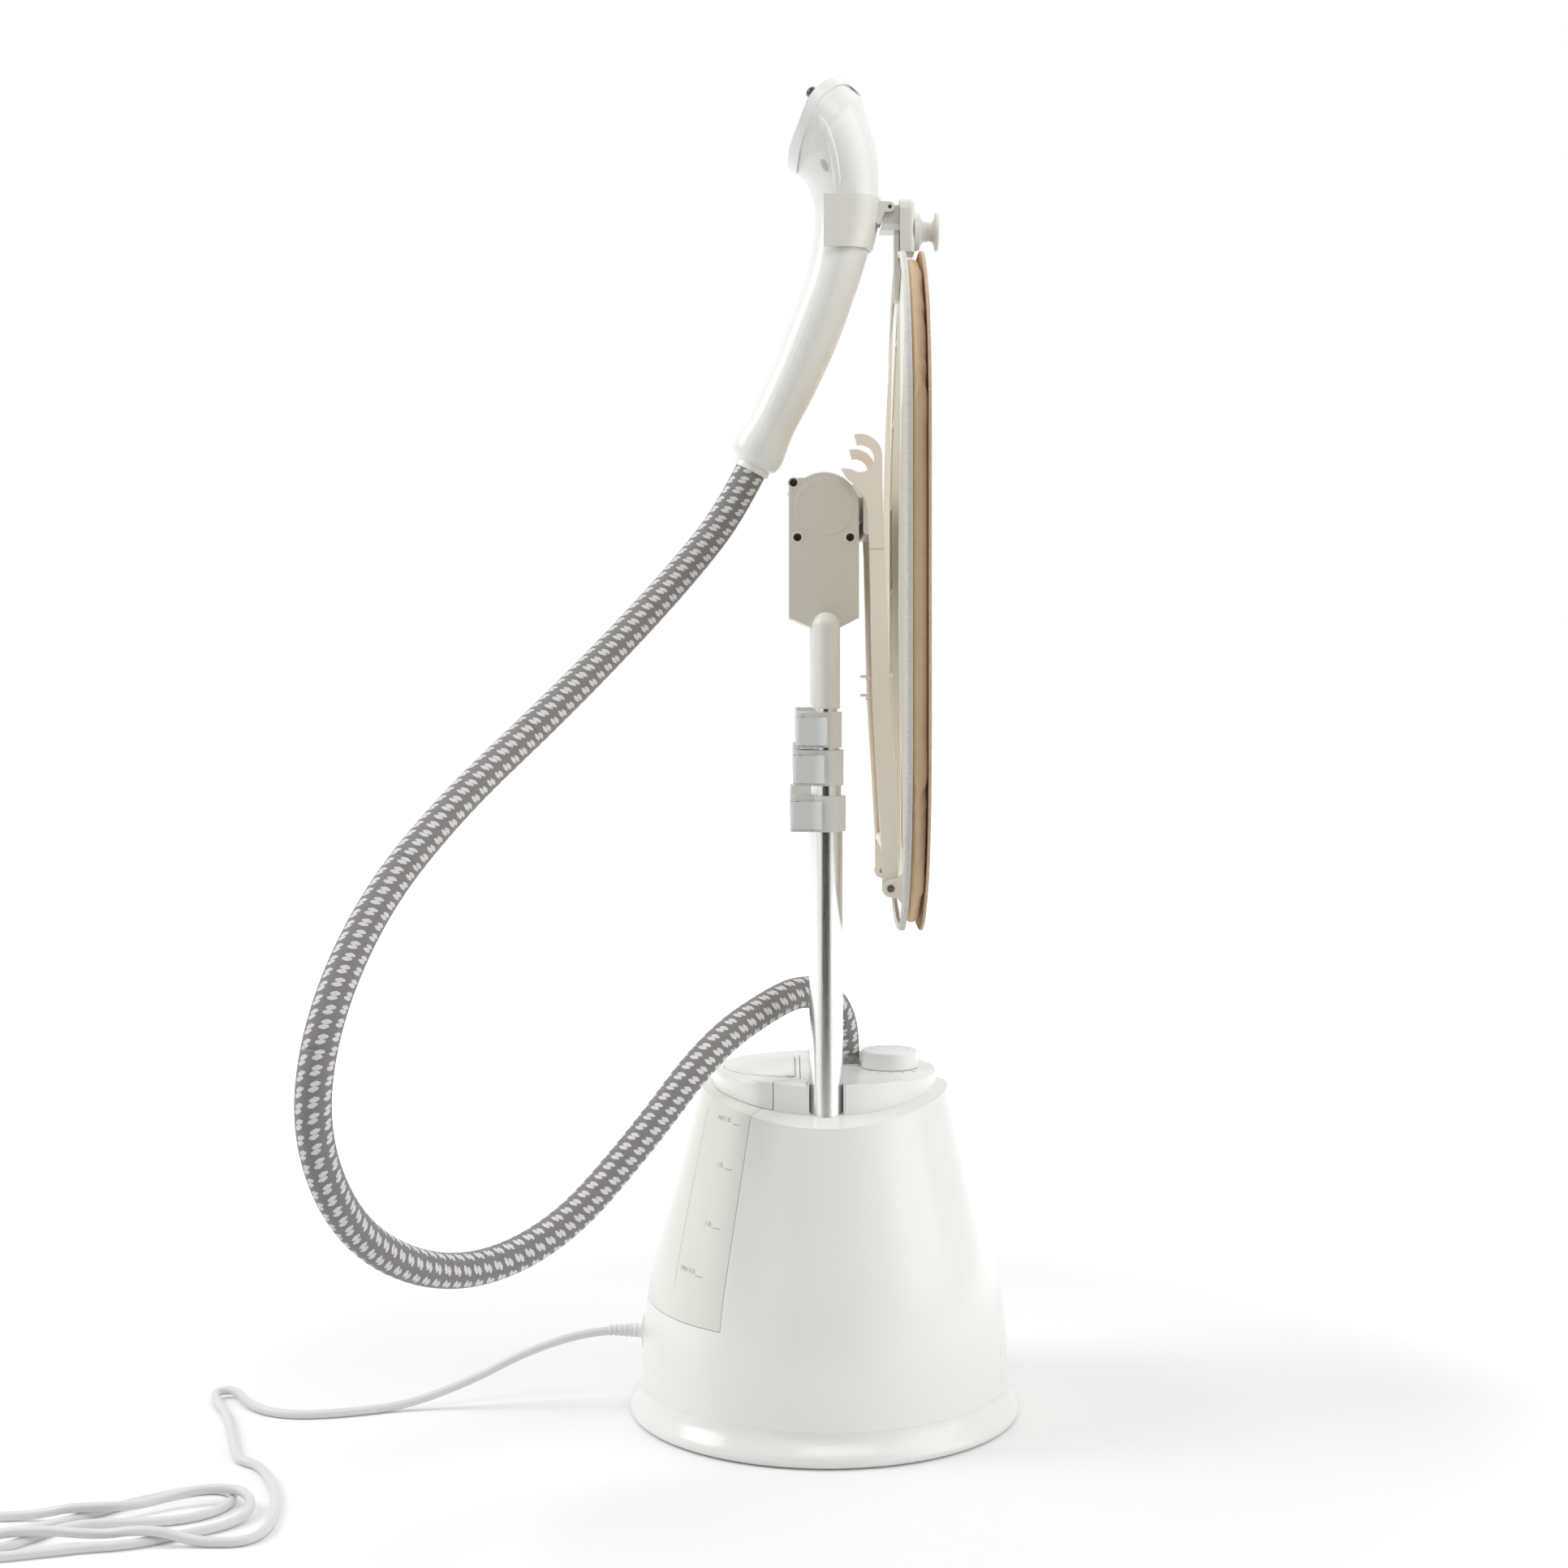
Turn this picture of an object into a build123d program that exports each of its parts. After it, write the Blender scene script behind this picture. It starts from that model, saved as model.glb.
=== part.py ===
"""Stand-up garment steamer: conical base with a lift-out tank, two telescopic poles,
a tilting head with arms and an ironing board, and a steam handset on its hose.

Millimetres. Origin on the floor under the middle of the base, +Z up, +X to the board's
side (front), the tank at the back (-X). The two poles stand on the Y axis.
"""
from build123d import *
import os
from math import cos, pi, radians, sin, sqrt, tan

os.makedirs("parts", exist_ok=True)

# ------------------------------------------------------------------ fits and walls
run_gap = 0.05            # radial gap of a pin, rod or tube in the bore that holds it
slide_gap = 0.4           # gap between parts that move past each other
shell_wall = 2.6          # moulded wall of the base

# ------------------------------------------------------------------ base body
foot_z = 24.0             # lower edge of the body shell
foot_radius = 140.2       # body radius there
knee_z = 129.0            # height where the side becomes a straight cone
knee_radius = 127.0
ledge_z = 249.0           # top of the body at its front and back
ledge_radius = 94.4
ledge_drop = 12.0         # the top falls away to the two sides by this much
ledge_reach = 85.0        # measured at this distance from the middle
ring_radius = 149.5       # bumper ring under the body
ring_bottom = 1.2
pad_radius = 9.0          # rubber feet
pad_circle = 122.0
pad_count = 5

# ------------------------------------------------------------------ deck on top
deck_z = 261.0
deck_half_x = 85.7
deck_half_y = 80.0
deck_round = 2.0
deck_wall = 2.4
seam_gap = 0.5

# ------------------------------------------------------------------ water tank
tank_half_angle = 55.0    # the tank takes this angle each side of the back
tank_floor_z = 88.0
tank_back_radius = 36.0   # its inner wall, towards the boiler
tank_wall = 2.4
cover_front_x = -18.7     # straight front edge of the tank cover between the poles
cover_side_x = -39.0      # where the cover's edge steps back beside the poles
cover_front_half = 52.0
lid_front_x = -22.5
lid_half_y = 50.0
lid_half_x = 77.0
lid_rise = 1.2
lid_pin_radius = 1.0
valve_radius = 6.0

# ------------------------------------------------------------------ controls and steam outlet
dial_x = 50.0
dial_radius = 21.7
dial_top_z = 274.5
dial_shaft_radius = 3.0
button_radius = 15.1
button_travel = 1.6
outlet_x = 15.4
outlet_y = 15.0
hose_diameter = 24.0
outlet_bore = 12.6
outlet_top_z = 262.5      # the hose stands on the socket here
nut_top_z = 269.0
nut_radius = 14.6
valve_z = 102.0
boiler_radius = 36.0
boiler_x = 50.0
boiler_low_z = 62.0
boiler_high_z = 150.0

# ------------------------------------------------------------------ telescopic poles
pole_y = 70.0
tube_radii = (12.5, 11.0, 9.5, 8.0)
tube_wall = 0.9
tube_low_z = (152.0, 158.0, 164.0, 170.0)
clamp_low_z = (448.0, 481.9, 509.9)
clamp_height = 26.3
clamp_round = (14.7, 13.1, 11.6)      # round side of each clamp, about the pole's axis
clamp_box = (26.5, 24.4, 22.3)        # reach of its boxed side, towards the back
clamp_slit = 2.0
stage_travel = 200.0
lever_height = 20.4
lever_length = 22.5
lever_thick = 2.2
lever_pin_radius = 1.3
sleeve_radius = 10.3
sleeve_low_z = 538.6
sleeve_top_z = 610.0

# ------------------------------------------------------------------ head
tilt_x = -1.4             # axis of the tilting joint
tilt_z = 688.6
head_back_x = -27.6
head_low_z = 605.0
head_keel_z = 599.0
head_top_round = 26.0     # dome over the tilting joint
head_core_half = 60.0
head_half = 64.0
boss_radius = 21.5
drum_radius = 21.0
drum_half = 34.0
axle_radius = 4.0
neck_half_height = 9.0
bar_back_x = 27.8
bar_front_x = 38.0
bar_low_z = 668.0
bar_high_z = 699.0
screw_head_radius = 2.9
screw_places = ((-24.2, 706.6), (-21.2, 665.9), (18.0, 665.9))

# ------------------------------------------------------------------ arms
arm_inner = 65.6
arm_outer = 72.0
arm_seam_z = 657.0
hook_x = 25.4
hook_z = 724.0
hook_inner = 9.6
hook_outer = 16.6
board_pin_x = 47.7
board_pin_z = 405.8
board_pin_radius = 2.3
lug_radius = 6.6
lug_thick = 4.2
lug_gap = 0.4

# ------------------------------------------------------------------ ironing board
board_low_z = 368.0
board_high_z = 886.0
board_half = 150.0
end_flat = 12.0           # half the straight part of each end
board_corner = board_half - end_flat
frame_inset = 7.0         # the frame is smaller than the pad all round
frame_front_x = 60.0
frame_plate = 3.0
frame_deep_x = 50.5       # back edge of the rim at half height
rim_wall = 5.0
spine_half = 22.0
spine_back_x = 50.0
pad_thick = 10.0
cloth_thick = 3.6
cloth_gap = 0.1

# ------------------------------------------------------------------ holder on the board's top
post_front_x = 68.6
post_back_x = 57.5
post_top_z = 928.0
post_half = 15.0
strip_back_x = 53.5
strip_half = 9.0
strip_low_z = 850.0
ledge_block_low = 903.5
ledge_block_high = 908.5
tongue_top_z = 923.5
peg_z = 904.0
peg_disc_radius = 14.7
peg_neck_radius = 7.8
peg_end_x = 87.7
cradle_pin_x = 49.9
cradle_pin_z = 921.6
cradle_pin_radius = 1.5
knuckle_radius = 3.6
knuckle_half = 8.0
cheek_outer = 12.0
cradle_low_z = 889.0
cradle_high_z = 929.0
cradle_open_x = -1.0
cradle_wall = 2.4

# ------------------------------------------------------------------ handset
# Each station is the grip's back point, its front point and its half width.
grip_stations = (
    ((-67.4, 730.2), (-42.4, 717.7), 14.2),
    ((-70.3, 736.5), (-37.8, 719.0), 17.8),
    ((-59.3, 760.2), (-26.8, 741.5), 18.8),
    ((-48.2, 783.0), (-15.3, 764.5), 19.4),
    ((-37.5, 807.4), (-3.1, 789.0), 20.0),
    ((-28.1, 832.1), (9.1, 816.0), 20.6),
    ((-19.9, 853.4), (18.5, 841.0), 21.1),
    ((-13.1, 874.0), (26.6, 864.5), 21.6),
    ((-9.1, 894.2), (33.6, 887.5), 22.1),
    ((-7.0, 912.0), (38.4, 908.5), 22.7),
    ((-8.4, 928.0), (41.0, 928.5), 23.6),
    ((-12.6, 939.8), (41.4, 949.0), 26.0),
    ((-18.3, 947.2), (37.6, 976.0), 30.0),
    ((-22.0, 951.5), (28.4, 1006.5), 34.0),
)
grip_wall = 2.4
seam_share = 0.36         # the seam between the two shells, from back to front
# Side curves of the head's rim: where it meets the shells, and its outer face.
rim_inner = ((-21.1, 951.4), (-18.7, 964.3), (-13.3, 979.2), (-7.8, 991.4), (-3.1, 999.5),
             (3.0, 1006.3), (12.5, 1013.1), (19.3, 1014.4), (26.1, 1010.4), (28.1, 1009.0))
rim_outer = ((-28.2, 955.4), (-27.5, 962.2), (-23.4, 974.4), (-18.3, 986.6), (-12.6, 1000.1),
             (1.3, 1014.7), (13.2, 1019.5), (28.2, 1011.1))
rim_offset = 1.6
plate_inset = 5.0
plate_recess = 1.0
plate_depth = 4.0
cuff_radius = 14.0
cuff_length = 5.0

# ------------------------------------------------------------------ cords
mains_diameter = 6.5
gland_z = 58.0
gland_x = -137.5
gland_plate = 3.0
gland_size = (26.0, 18.0)
gland_bush_radius = 7.0
# Route of the steam hose from the handset to the outlet on the deck.
hose_route = (
    (-54.9, 0.0, 723.95), (-72.1, 0.0, 689.55), (-101.0, -14.0, 650.0), (-148.0, -60.0, 594.0),
    (-205.0, -118.0, 532.0), (-262.0, -182.0, 474.0), (-306.0, -250.0, 412.0),
    (-330.0, -310.0, 338.0), (-334.0, -318.0, 264.0), (-310.0, -272.0, 190.0),
    (-256.0, -203.0, 150.0), (-192.0, -150.0, 166.0), (-134.0, -115.0, 228.0),
    (-84.0, -82.0, 292.0), (-34.0, -27.0, 318.0), (-13.0, -8.0, 321.0), (4.0, 5.0, 313.0),
    (12.5, 12.0, 298.0), (outlet_x, outlet_y, 280.0), (outlet_x, outlet_y, outlet_top_z),
)
# The loose hank on the floor: ends of its near side and of its far side, as seen from above.
hank_right_x = -392.0
hank_left_x = -668.0
hank_near_y = (-302.0, -346.0)
hank_far_y = (-199.0, -262.0)
hank_height = 14.0
plug_y = -304.0
plug_height = 20.0
# Route of the mains lead from the gland to the hank.
floor_z = mains_diameter / 2 + 0.1
mains_route = (
    (-152.0, 0.0, 58.0), (-178.0, 0.0, 58.0), (-228.0, -2.0, 43.0), (-272.0, -4.0, 20.0),
    (-322.0, -12.0, floor_z), (-366.0, -29.0, floor_z), (-400.0, -34.0, floor_z),
    (-424.0, -26.0, floor_z), (-441.0, -10.0, floor_z + 1.0), (-451.5, 7.0, floor_z + 2.0),
    (-455.5, 15.0, floor_z + 2.0), (-462.5, 20.5, floor_z + 2.0), (-471.0, 17.8, floor_z + 2.0),
    (-472.0, 8.0, floor_z + 2.0),
    (-465.0, -9.0, floor_z + 1.0), (-452.0, -34.0, floor_z), (-438.5, -78.0, floor_z),
    (-428.0, -114.0, floor_z), (-421.0, -134.0, floor_z), (-408.0, -142.0, floor_z),
    (-397.0, -158.0, floor_z), (-384.0, -188.0, floor_z), (-375.0, -224.0, floor_z),
    (-371.0, -262.0, floor_z), (-375.0, -282.0, floor_z), (-384.0, -291.0, floor_z),
    (hank_right_x + 0.1, -291.0, floor_z),
)


# ================================================================== shared helpers
def save(part, name):
    """Label a finished piece and write it as its own STEP file."""
    part.label = name
    export_step(part, f"parts/{name}.step")


def revolved_body(inset, low_z, high_z):
    """Solid inside the body's conical outline, drawn in by inset, between two heights."""
    slope = (knee_radius - ledge_radius) / (ledge_z - knee_z)
    tall_z = ledge_z + 40
    with BuildPart() as body:
        with BuildSketch(Plane.XZ):
            with BuildLine():
                top = (ledge_radius - slope * (tall_z - ledge_z) - inset, tall_z)
                knee = (knee_radius - inset, knee_z)
                foot = (foot_radius - inset, foot_z)
                Line(top, knee)
                TangentArc(knee, foot, tangent=(slope, -1))
                Polyline(foot, (foot_radius - inset, 0), (0, 0), (0, tall_z), top)
            make_face()
        revolve(axis=Axis.Z)
        with Locations((0, 0, low_z)):
            Box(400, 400, high_z - low_z, align=(Align.CENTER, Align.CENTER, Align.MIN),
                mode=Mode.INTERSECT)
    return body.part


def above_ledge(lift=0.0):
    """Everything over the top face of the body, which is a shallow arch from side to side."""
    arch_radius = (ledge_reach**2 + ledge_drop**2) / (2 * ledge_drop)
    with BuildPart() as sky:
        with BuildSketch(Plane.YZ):
            with Locations((0, ledge_z + lift)):
                Rectangle(400, 200, align=(Align.CENTER, Align.CENTER))
            with Locations((0, ledge_z + lift - arch_radius)):
                Circle(arch_radius, mode=Mode.SUBTRACT)
            with Locations((0, ledge_z + lift - 60)):
                Rectangle(400, 60, align=(Align.CENTER, Align.CENTER), mode=Mode.SUBTRACT)
        extrude(amount=200, both=True)
    return sky.part


def tank_sector(inset, inner, low_z, high_z):
    """Wedge about the back of the body that holds the tank, its two sides set in by inset."""
    edge = radians(180 - tank_half_angle)
    shift = inset / sin(radians(tank_half_angle))
    reach = 260
    with BuildPart() as wedge:
        with BuildSketch(Plane.XY.offset(low_z)):
            with BuildLine():
                Polyline((-shift, 0), (-shift + reach * cos(edge), reach * sin(edge)),
                         (-shift + reach * cos(edge), -reach * sin(edge)), (-shift, 0))
            make_face()
            Circle(inner + inset, mode=Mode.SUBTRACT)
        extrude(amount=high_z - low_z)
    return wedge.part


def pole_tubes(radius, wall, low_z, high_z):
    """A pair of tubes, one on each pole's axis."""
    with BuildPart() as pair:
        with BuildSketch(Plane.XY.offset(low_z)):
            with Locations((0, -pole_y), (0, pole_y)):
                Circle(radius)
                if wall:
                    Circle(radius - wall, mode=Mode.SUBTRACT)
        extrude(amount=high_z - low_z)
    return pair.part


def deck_block(low_z, high_z, inset=0.0):
    """The oval of the raised deck, with a half-round notch at each pole."""
    with BuildPart() as block:
        with BuildSketch(Plane.XY.offset(low_z)):
            Ellipse(deck_half_x - inset, deck_half_y - inset)
            with Locations((0, -pole_y), (0, pole_y)):
                Circle(tube_radii[0] + 1.5 + inset, mode=Mode.SUBTRACT)
            with Locations((0, -pole_y - 20), (0, pole_y + 20)):
                Rectangle(2 * (tube_radii[0] + 1.5 + inset), 40, mode=Mode.SUBTRACT)
        extrude(amount=high_z - low_z)
    return block.part


def cover_outline(gap):
    """Plan region of the tank cover: straight between the poles, stepped back beside them."""
    front = cover_front_x - gap
    side = cover_side_x - gap
    with BuildPart() as region:
        with BuildSketch(Plane.XY.offset(ledge_z - 40)):
            with BuildLine():
                Polyline((front, -cover_front_half + gap), (front, cover_front_half - gap),
                         (side, cover_front_half + 12 - gap), (side, deck_half_y - 4),
                         (-56 - gap, 90), (-120, 90), (-120, -90), (-56 - gap, -90),
                         (side, -deck_half_y + 4), (side, -cover_front_half - 12 + gap),
                         (front, -cover_front_half + gap))
            make_face()
        extrude(amount=100)
    return region.part


# ================================================================== base
gland_plane = Plane((gland_x, 0, gland_z), x_dir=(0, 1, 0), z_dir=(-1, 0, 0))
top_hollow = above_ledge(-shell_wall)
bay_gap = slide_gap + shell_wall
hollow = revolved_body(shell_wall, foot_z - 1, ledge_z + 1) - top_hollow
hollow -= tank_sector(-bay_gap, tank_back_radius, tank_floor_z - bay_gap, ledge_z + 60)
hollow -= pole_tubes(tube_radii[0] + 4.0, 0, tube_low_z[0] - 3, ledge_z)

with BuildPart() as base_shell:
    add(revolved_body(0, foot_z, ledge_z + 1))
    add(above_ledge(), mode=Mode.SUBTRACT)
    add(tank_sector(-slide_gap, tank_back_radius, tank_floor_z - slide_gap, ledge_z + 60),
        mode=Mode.SUBTRACT)
    add(hollow, mode=Mode.SUBTRACT)
    add(pole_tubes(tube_radii[0] + run_gap, 0, tube_low_z[0], ledge_z + 10), mode=Mode.SUBTRACT)
    with Locations((outlet_x, outlet_y, ledge_z - 20)):
        Cylinder(outlet_bore + slide_gap, 60, mode=Mode.SUBTRACT)
    with Locations((dial_x, 0, ledge_z - 20)):
        Cylinder(dial_shaft_radius + slide_gap, 60, mode=Mode.SUBTRACT)
    with BuildSketch(Plane.YZ.offset(-tank_back_radius - 2)):
        with Locations((0, valve_z)):
            Circle(valve_radius + slide_gap)
    extrude(amount=12, mode=Mode.SUBTRACT)
    with BuildSketch(gland_plane.offset(gland_plate)):
        SlotOverall(gland_size[0] + 2 * run_gap, gland_size[1] + 2 * run_gap, rotation=90)
    extrude(amount=-gland_plate, mode=Mode.SUBTRACT)
    with BuildSketch(gland_plane):
        Circle(gland_bush_radius + run_gap)
    extrude(amount=-6, mode=Mode.SUBTRACT)
save(base_shell.part, "base_shell")

with BuildPart() as base_plate:
    with BuildSketch(Plane.XY.offset(foot_z - 4)):
        Circle(foot_radius - shell_wall - slide_gap)
        with PolarLocations(70, 9, start_angle=-70, angular_range=140):
            SlotOverall(34, 5, mode=Mode.SUBTRACT)
    extrude(amount=4)
    with BuildSketch(Plane.XY.offset(foot_z)):
        with PolarLocations(pad_circle, pad_count, start_angle=36):
            Circle(6)
            Circle(1.8, mode=Mode.SUBTRACT)
    extrude(amount=14)
save(base_plate.part, "base_plate")

with BuildPart() as bumper_ring:
    with BuildSketch(Plane.XZ):
        with BuildLine():
            low = (ring_radius - 3.6, ring_bottom)
            Line((foot_radius - 22, ring_bottom), low)
            ThreePointArc(low, (ring_radius - 0.9, ring_bottom + 1.2), (ring_radius, ring_bottom + 4.6))
            Spline((ring_radius, ring_bottom + 4.6), (foot_radius + 3.6, foot_z - 9),
                   (foot_radius, foot_z), tangents=((-0.25, 1), (-0.1, 1)))
            Polyline((foot_radius, foot_z), (foot_radius - shell_wall, foot_z),
                     (foot_radius - shell_wall, foot_z - 4), (foot_radius - 22, foot_z - 4),
                     (foot_radius - 22, ring_bottom))
        make_face()
    revolve(axis=Axis.Z)
save(bumper_ring.part, "bumper_ring")

with BuildPart() as rubber_feet:
    with BuildSketch():
        with PolarLocations(foot_radius - 12, pad_count, start_angle=36):
            Circle(pad_radius)
    extrude(amount=ring_bottom)
save(rubber_feet.part, "rubber_feet")

# ------------------------------------------------------------------ deck
with BuildPart() as control_deck:
    add(deck_block(ledge_z - 20, deck_z))
    fillet(control_deck.faces().sort_by(Axis.Z)[-1].edges(), deck_round)
    add(deck_block(ledge_z - 30, deck_z - deck_wall, deck_wall), mode=Mode.SUBTRACT)
    with BuildSketch(Plane.XY.offset(deck_z - deck_wall)):
        with Locations((outlet_x, outlet_y)):
            Circle(17.5)
        with Locations((dial_x, 0)):
            Circle(dial_shaft_radius + 4)
    extrude(amount=-14)
    underside = above_ledge()
    add(underside, mode=Mode.INTERSECT)
    add(cover_outline(0), mode=Mode.SUBTRACT)
    with Locations((outlet_x, outlet_y, deck_z - 15)):
        Cylinder(outlet_bore + run_gap, 60, mode=Mode.SUBTRACT)
    with Locations((dial_x, 0, deck_z)):
        Cylinder(dial_shaft_radius + slide_gap, 60, mode=Mode.SUBTRACT)
save(control_deck.part, "control_deck")

# ------------------------------------------------------------------ tank
mouth_inset = 11.0
mouth = (deck_block(ledge_z - 30, deck_z + 10, mouth_inset)
         & tank_sector(6, tank_back_radius + 6, ledge_z - 30, 300))

with BuildPart() as water_tank:
    add(revolved_body(0, tank_floor_z, ledge_z + 1))
    add(above_ledge(), mode=Mode.SUBTRACT)
    add(tank_sector(0, tank_back_radius, tank_floor_z, 300), mode=Mode.INTERSECT)
    water = revolved_body(tank_wall, tank_floor_z + tank_wall, ledge_z + 1) - above_ledge(-tank_wall)
    water &= tank_sector(tank_wall, tank_back_radius, tank_floor_z + tank_wall, 300)
    add(water, mode=Mode.SUBTRACT)
    add(mouth, mode=Mode.SUBTRACT)
    with BuildSketch(Plane.YZ.offset(-tank_back_radius - 8)):
        with Locations((0, valve_z)):
            Circle(valve_radius + run_gap)
    extrude(amount=20, mode=Mode.SUBTRACT)
print("tank holds", round(water.volume / 1e6, 2), "litres")
save(water_tank.part, "water_tank")

with BuildPart() as tank_valve:
    with BuildSketch(Plane.YZ.offset(-tank_back_radius - 9)):
        with Locations((0, valve_z)):
            Circle(valve_radius + 3)
    extrude(amount=4)
    with BuildSketch(Plane.YZ.offset(-tank_back_radius - 5)):
        with Locations((0, valve_z)):
            Circle(valve_radius)
    extrude(amount=12)
save(tank_valve.part, "tank_valve")

with BuildPart() as valve_socket:
    with BuildSketch(Plane.YZ.offset(-tank_back_radius + 6.5)):
        with Locations((0, valve_z)):
            Circle(valve_radius + 4)
            Circle(valve_radius + slide_gap, mode=Mode.SUBTRACT)
    extrude(amount=12)
    with BuildSketch(Plane.YZ.offset(-tank_back_radius + 18.5)):
        with Locations((0, valve_z)):
            Circle(valve_radius + 4)
    extrude(amount=3)
save(valve_socket.part, "valve_socket")

lid_axis_x = lid_front_x - 2.2
lid_axis_z = deck_z - 1.0
rib_radius = lid_rise + 1.0


def lid_outline(grow):
    """The lid's plan: an oval cut off straight along its hinge."""
    with BuildSketch(Plane.XY) as plan:
        Ellipse(lid_half_x + grow, lid_half_y + grow)
        with Locations((lid_axis_x + 200, 0)):
            Rectangle(400, 400, mode=Mode.SUBTRACT)
    return plan.sketch


def lid_rod(radius, half):
    """A rod along the lid's hinge axis."""
    with BuildPart() as rod:
        with BuildSketch(Plane.XZ.offset(-half)):
            with Locations((lid_axis_x, lid_axis_z)):
                Circle(radius)
        extrude(amount=2 * half)
    return rod.part


lid_edge_half = 44.0
with BuildPart() as tank_cover:
    add(deck_block(ledge_z - 20, deck_z))
    fillet(tank_cover.faces().sort_by(Axis.Z)[-1].edges(), deck_round)
    add(deck_block(ledge_z - 30, deck_z - deck_wall, deck_wall) & cover_outline(seam_gap + deck_wall),
        mode=Mode.SUBTRACT)
    with Locations((lid_axis_x, 0, deck_z - 6)):
        Box(9, 2 * lid_edge_half + 12, 6, align=(Align.CENTER, Align.CENTER, Align.MIN))
    add(above_ledge(slide_gap), mode=Mode.INTERSECT)
    add(cover_outline(seam_gap), mode=Mode.INTERSECT)
    add(deck_block(ledge_z - 8, deck_z - 1, mouth_inset + 0.2)
        & tank_sector(6.2, tank_back_radius + 6, ledge_z - 8, 300))
    add(deck_block(ledge_z - 9, deck_z - deck_wall, mouth_inset + 2)
        & tank_sector(8.2, tank_back_radius + 6, ledge_z - 9, deck_z - deck_wall), mode=Mode.SUBTRACT)
    extrude(lid_outline(0.5).moved(Location((0, 0, deck_z - lid_rise - 0.1))), amount=20,
            mode=Mode.SUBTRACT)
    extrude(lid_outline(-9).moved(Location((-6, 0, ledge_z - 20))), amount=60, mode=Mode.SUBTRACT)
    add(lid_rod(rib_radius + slide_gap, lid_edge_half + slide_gap), mode=Mode.SUBTRACT)
    add(lid_rod(lid_pin_radius + run_gap, lid_edge_half + 4), mode=Mode.SUBTRACT)
save(tank_cover.part, "tank_cover")

with BuildPart() as fill_lid:
    extrude(lid_outline(0).moved(Location((0, 0, deck_z - lid_rise))), amount=2 * lid_rise)
    fillet(fill_lid.faces().sort_by(Axis.Z)[-1].edges().sort_by(Axis.X)[0], 1.0)
    for side in (-1, 1):
        with Locations((lid_axis_x, side * (lid_edge_half + 10), deck_z)):
            Box(4 * (rib_radius + slide_gap), 20, 6, mode=Mode.SUBTRACT)
    add(lid_rod(rib_radius, lid_edge_half))
    add(lid_rod(lid_pin_radius + run_gap, 80), mode=Mode.SUBTRACT)
save(fill_lid.part, "fill_lid")

save(lid_rod(lid_pin_radius, lid_edge_half + 3.8), "lid_pin")

# ------------------------------------------------------------------ inside the base
with BuildPart() as boiler:
    with BuildSketch(Plane.XY.offset(boiler_low_z)):
        with Locations((boiler_x, 0)):
            Circle(boiler_radius)
    extrude(amount=boiler_high_z - boiler_low_z)
    fillet(boiler.edges().filter_by(GeomType.CIRCLE), 8)
    with BuildSketch(Plane.XY.offset((boiler_low_z + boiler_high_z) / 2)):
        with Locations((boiler_x, 0)):
            Circle(boiler_radius + 6)
    extrude(amount=2, both=True)
    with BuildSketch(Plane.XY.offset(foot_z)):
        with Locations((boiler_x, 0)):
            with PolarLocations(boiler_radius - 10, 3):
                Circle(4.5)
    extrude(amount=boiler_low_z - foot_z + 8)
    with BuildSketch(Plane.XY.offset(boiler_high_z - 1)):
        with Locations((boiler_x, 0)):
            Circle(6)
    extrude(amount=9)
save(boiler.part, "boiler")

with BuildPart() as steam_pipe:
    with BuildLine() as pipe_line:
        pipe_path = FilletPolyline((boiler_x, 0, boiler_high_z + 8), (boiler_x, 0, 205),
                                   (outlet_x, outlet_y, 205), (outlet_x, outlet_y, ledge_z - 12),
                                   radius=10)
    with BuildSketch(Plane(pipe_path @ 0, z_dir=pipe_path % 0)):
        Circle(4.0)
    sweep()
save(steam_pipe.part, "steam_pipe")

with BuildPart() as pump:
    with Locations((0, 78, foot_z)):
        Box(56, 34, 4, align=(Align.CENTER, Align.CENTER, Align.MIN))
    with Locations((0, 78, foot_z + 20)):
        Box(34, 30, 32)
    with Locations(Location((0, 78, foot_z + 20), (0, 90, 0))):
        Cylinder(11, 66)
        Cylinder(4, 84)
save(pump.part, "pump")

with BuildPart() as control_board:
    with Locations((61, -66, foot_z)):
        Box(52, 6, 6, align=(Align.CENTER, Align.CENTER, Align.MIN))
        Box(60, 1.6, 62, align=(Align.CENTER, Align.CENTER, Align.MIN))
    with Locations((53, -69, foot_z + 36), (73, -69, foot_z + 30)):
        Box(14, 6, 20)
save(control_board.part, "control_board")

# ------------------------------------------------------------------ outlet, dial, gland
with BuildPart() as outlet_socket:
    with BuildSketch(Plane.XY.offset(ledge_z - 12)):
        with Locations((outlet_x, outlet_y)):
            Circle(outlet_bore)
            Circle(4.0 + run_gap, mode=Mode.SUBTRACT)
    extrude(amount=deck_z - ledge_z + 12)
    with BuildSketch(Plane.XY.offset(deck_z)):
        with Locations((outlet_x, outlet_y)):
            Circle(nut_radius + 0.8)
            Circle(4.0, mode=Mode.SUBTRACT)
    extrude(amount=outlet_top_z - deck_z)
save(outlet_socket.part, "outlet_socket")

with BuildPart() as hose_nut:
    with BuildSketch(Plane.XY.offset(outlet_top_z)):
        with Locations((outlet_x, outlet_y)):
            Circle(nut_radius - 1.5)
    extrude(amount=nut_top_z - outlet_top_z, taper=-9)
    with BuildSketch(Plane.XY.offset(outlet_top_z)):
        with Locations((outlet_x, outlet_y)):
            with PolarLocations(nut_radius - 1.0, 8):
                Circle(1.6)
    extrude(amount=nut_top_z - outlet_top_z - 1.6)
    with Locations((outlet_x, outlet_y, outlet_top_z)):
        Cylinder(hose_diameter / 2 + 0.2, 40, mode=Mode.SUBTRACT)
save(hose_nut.part, "hose_nut")

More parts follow.
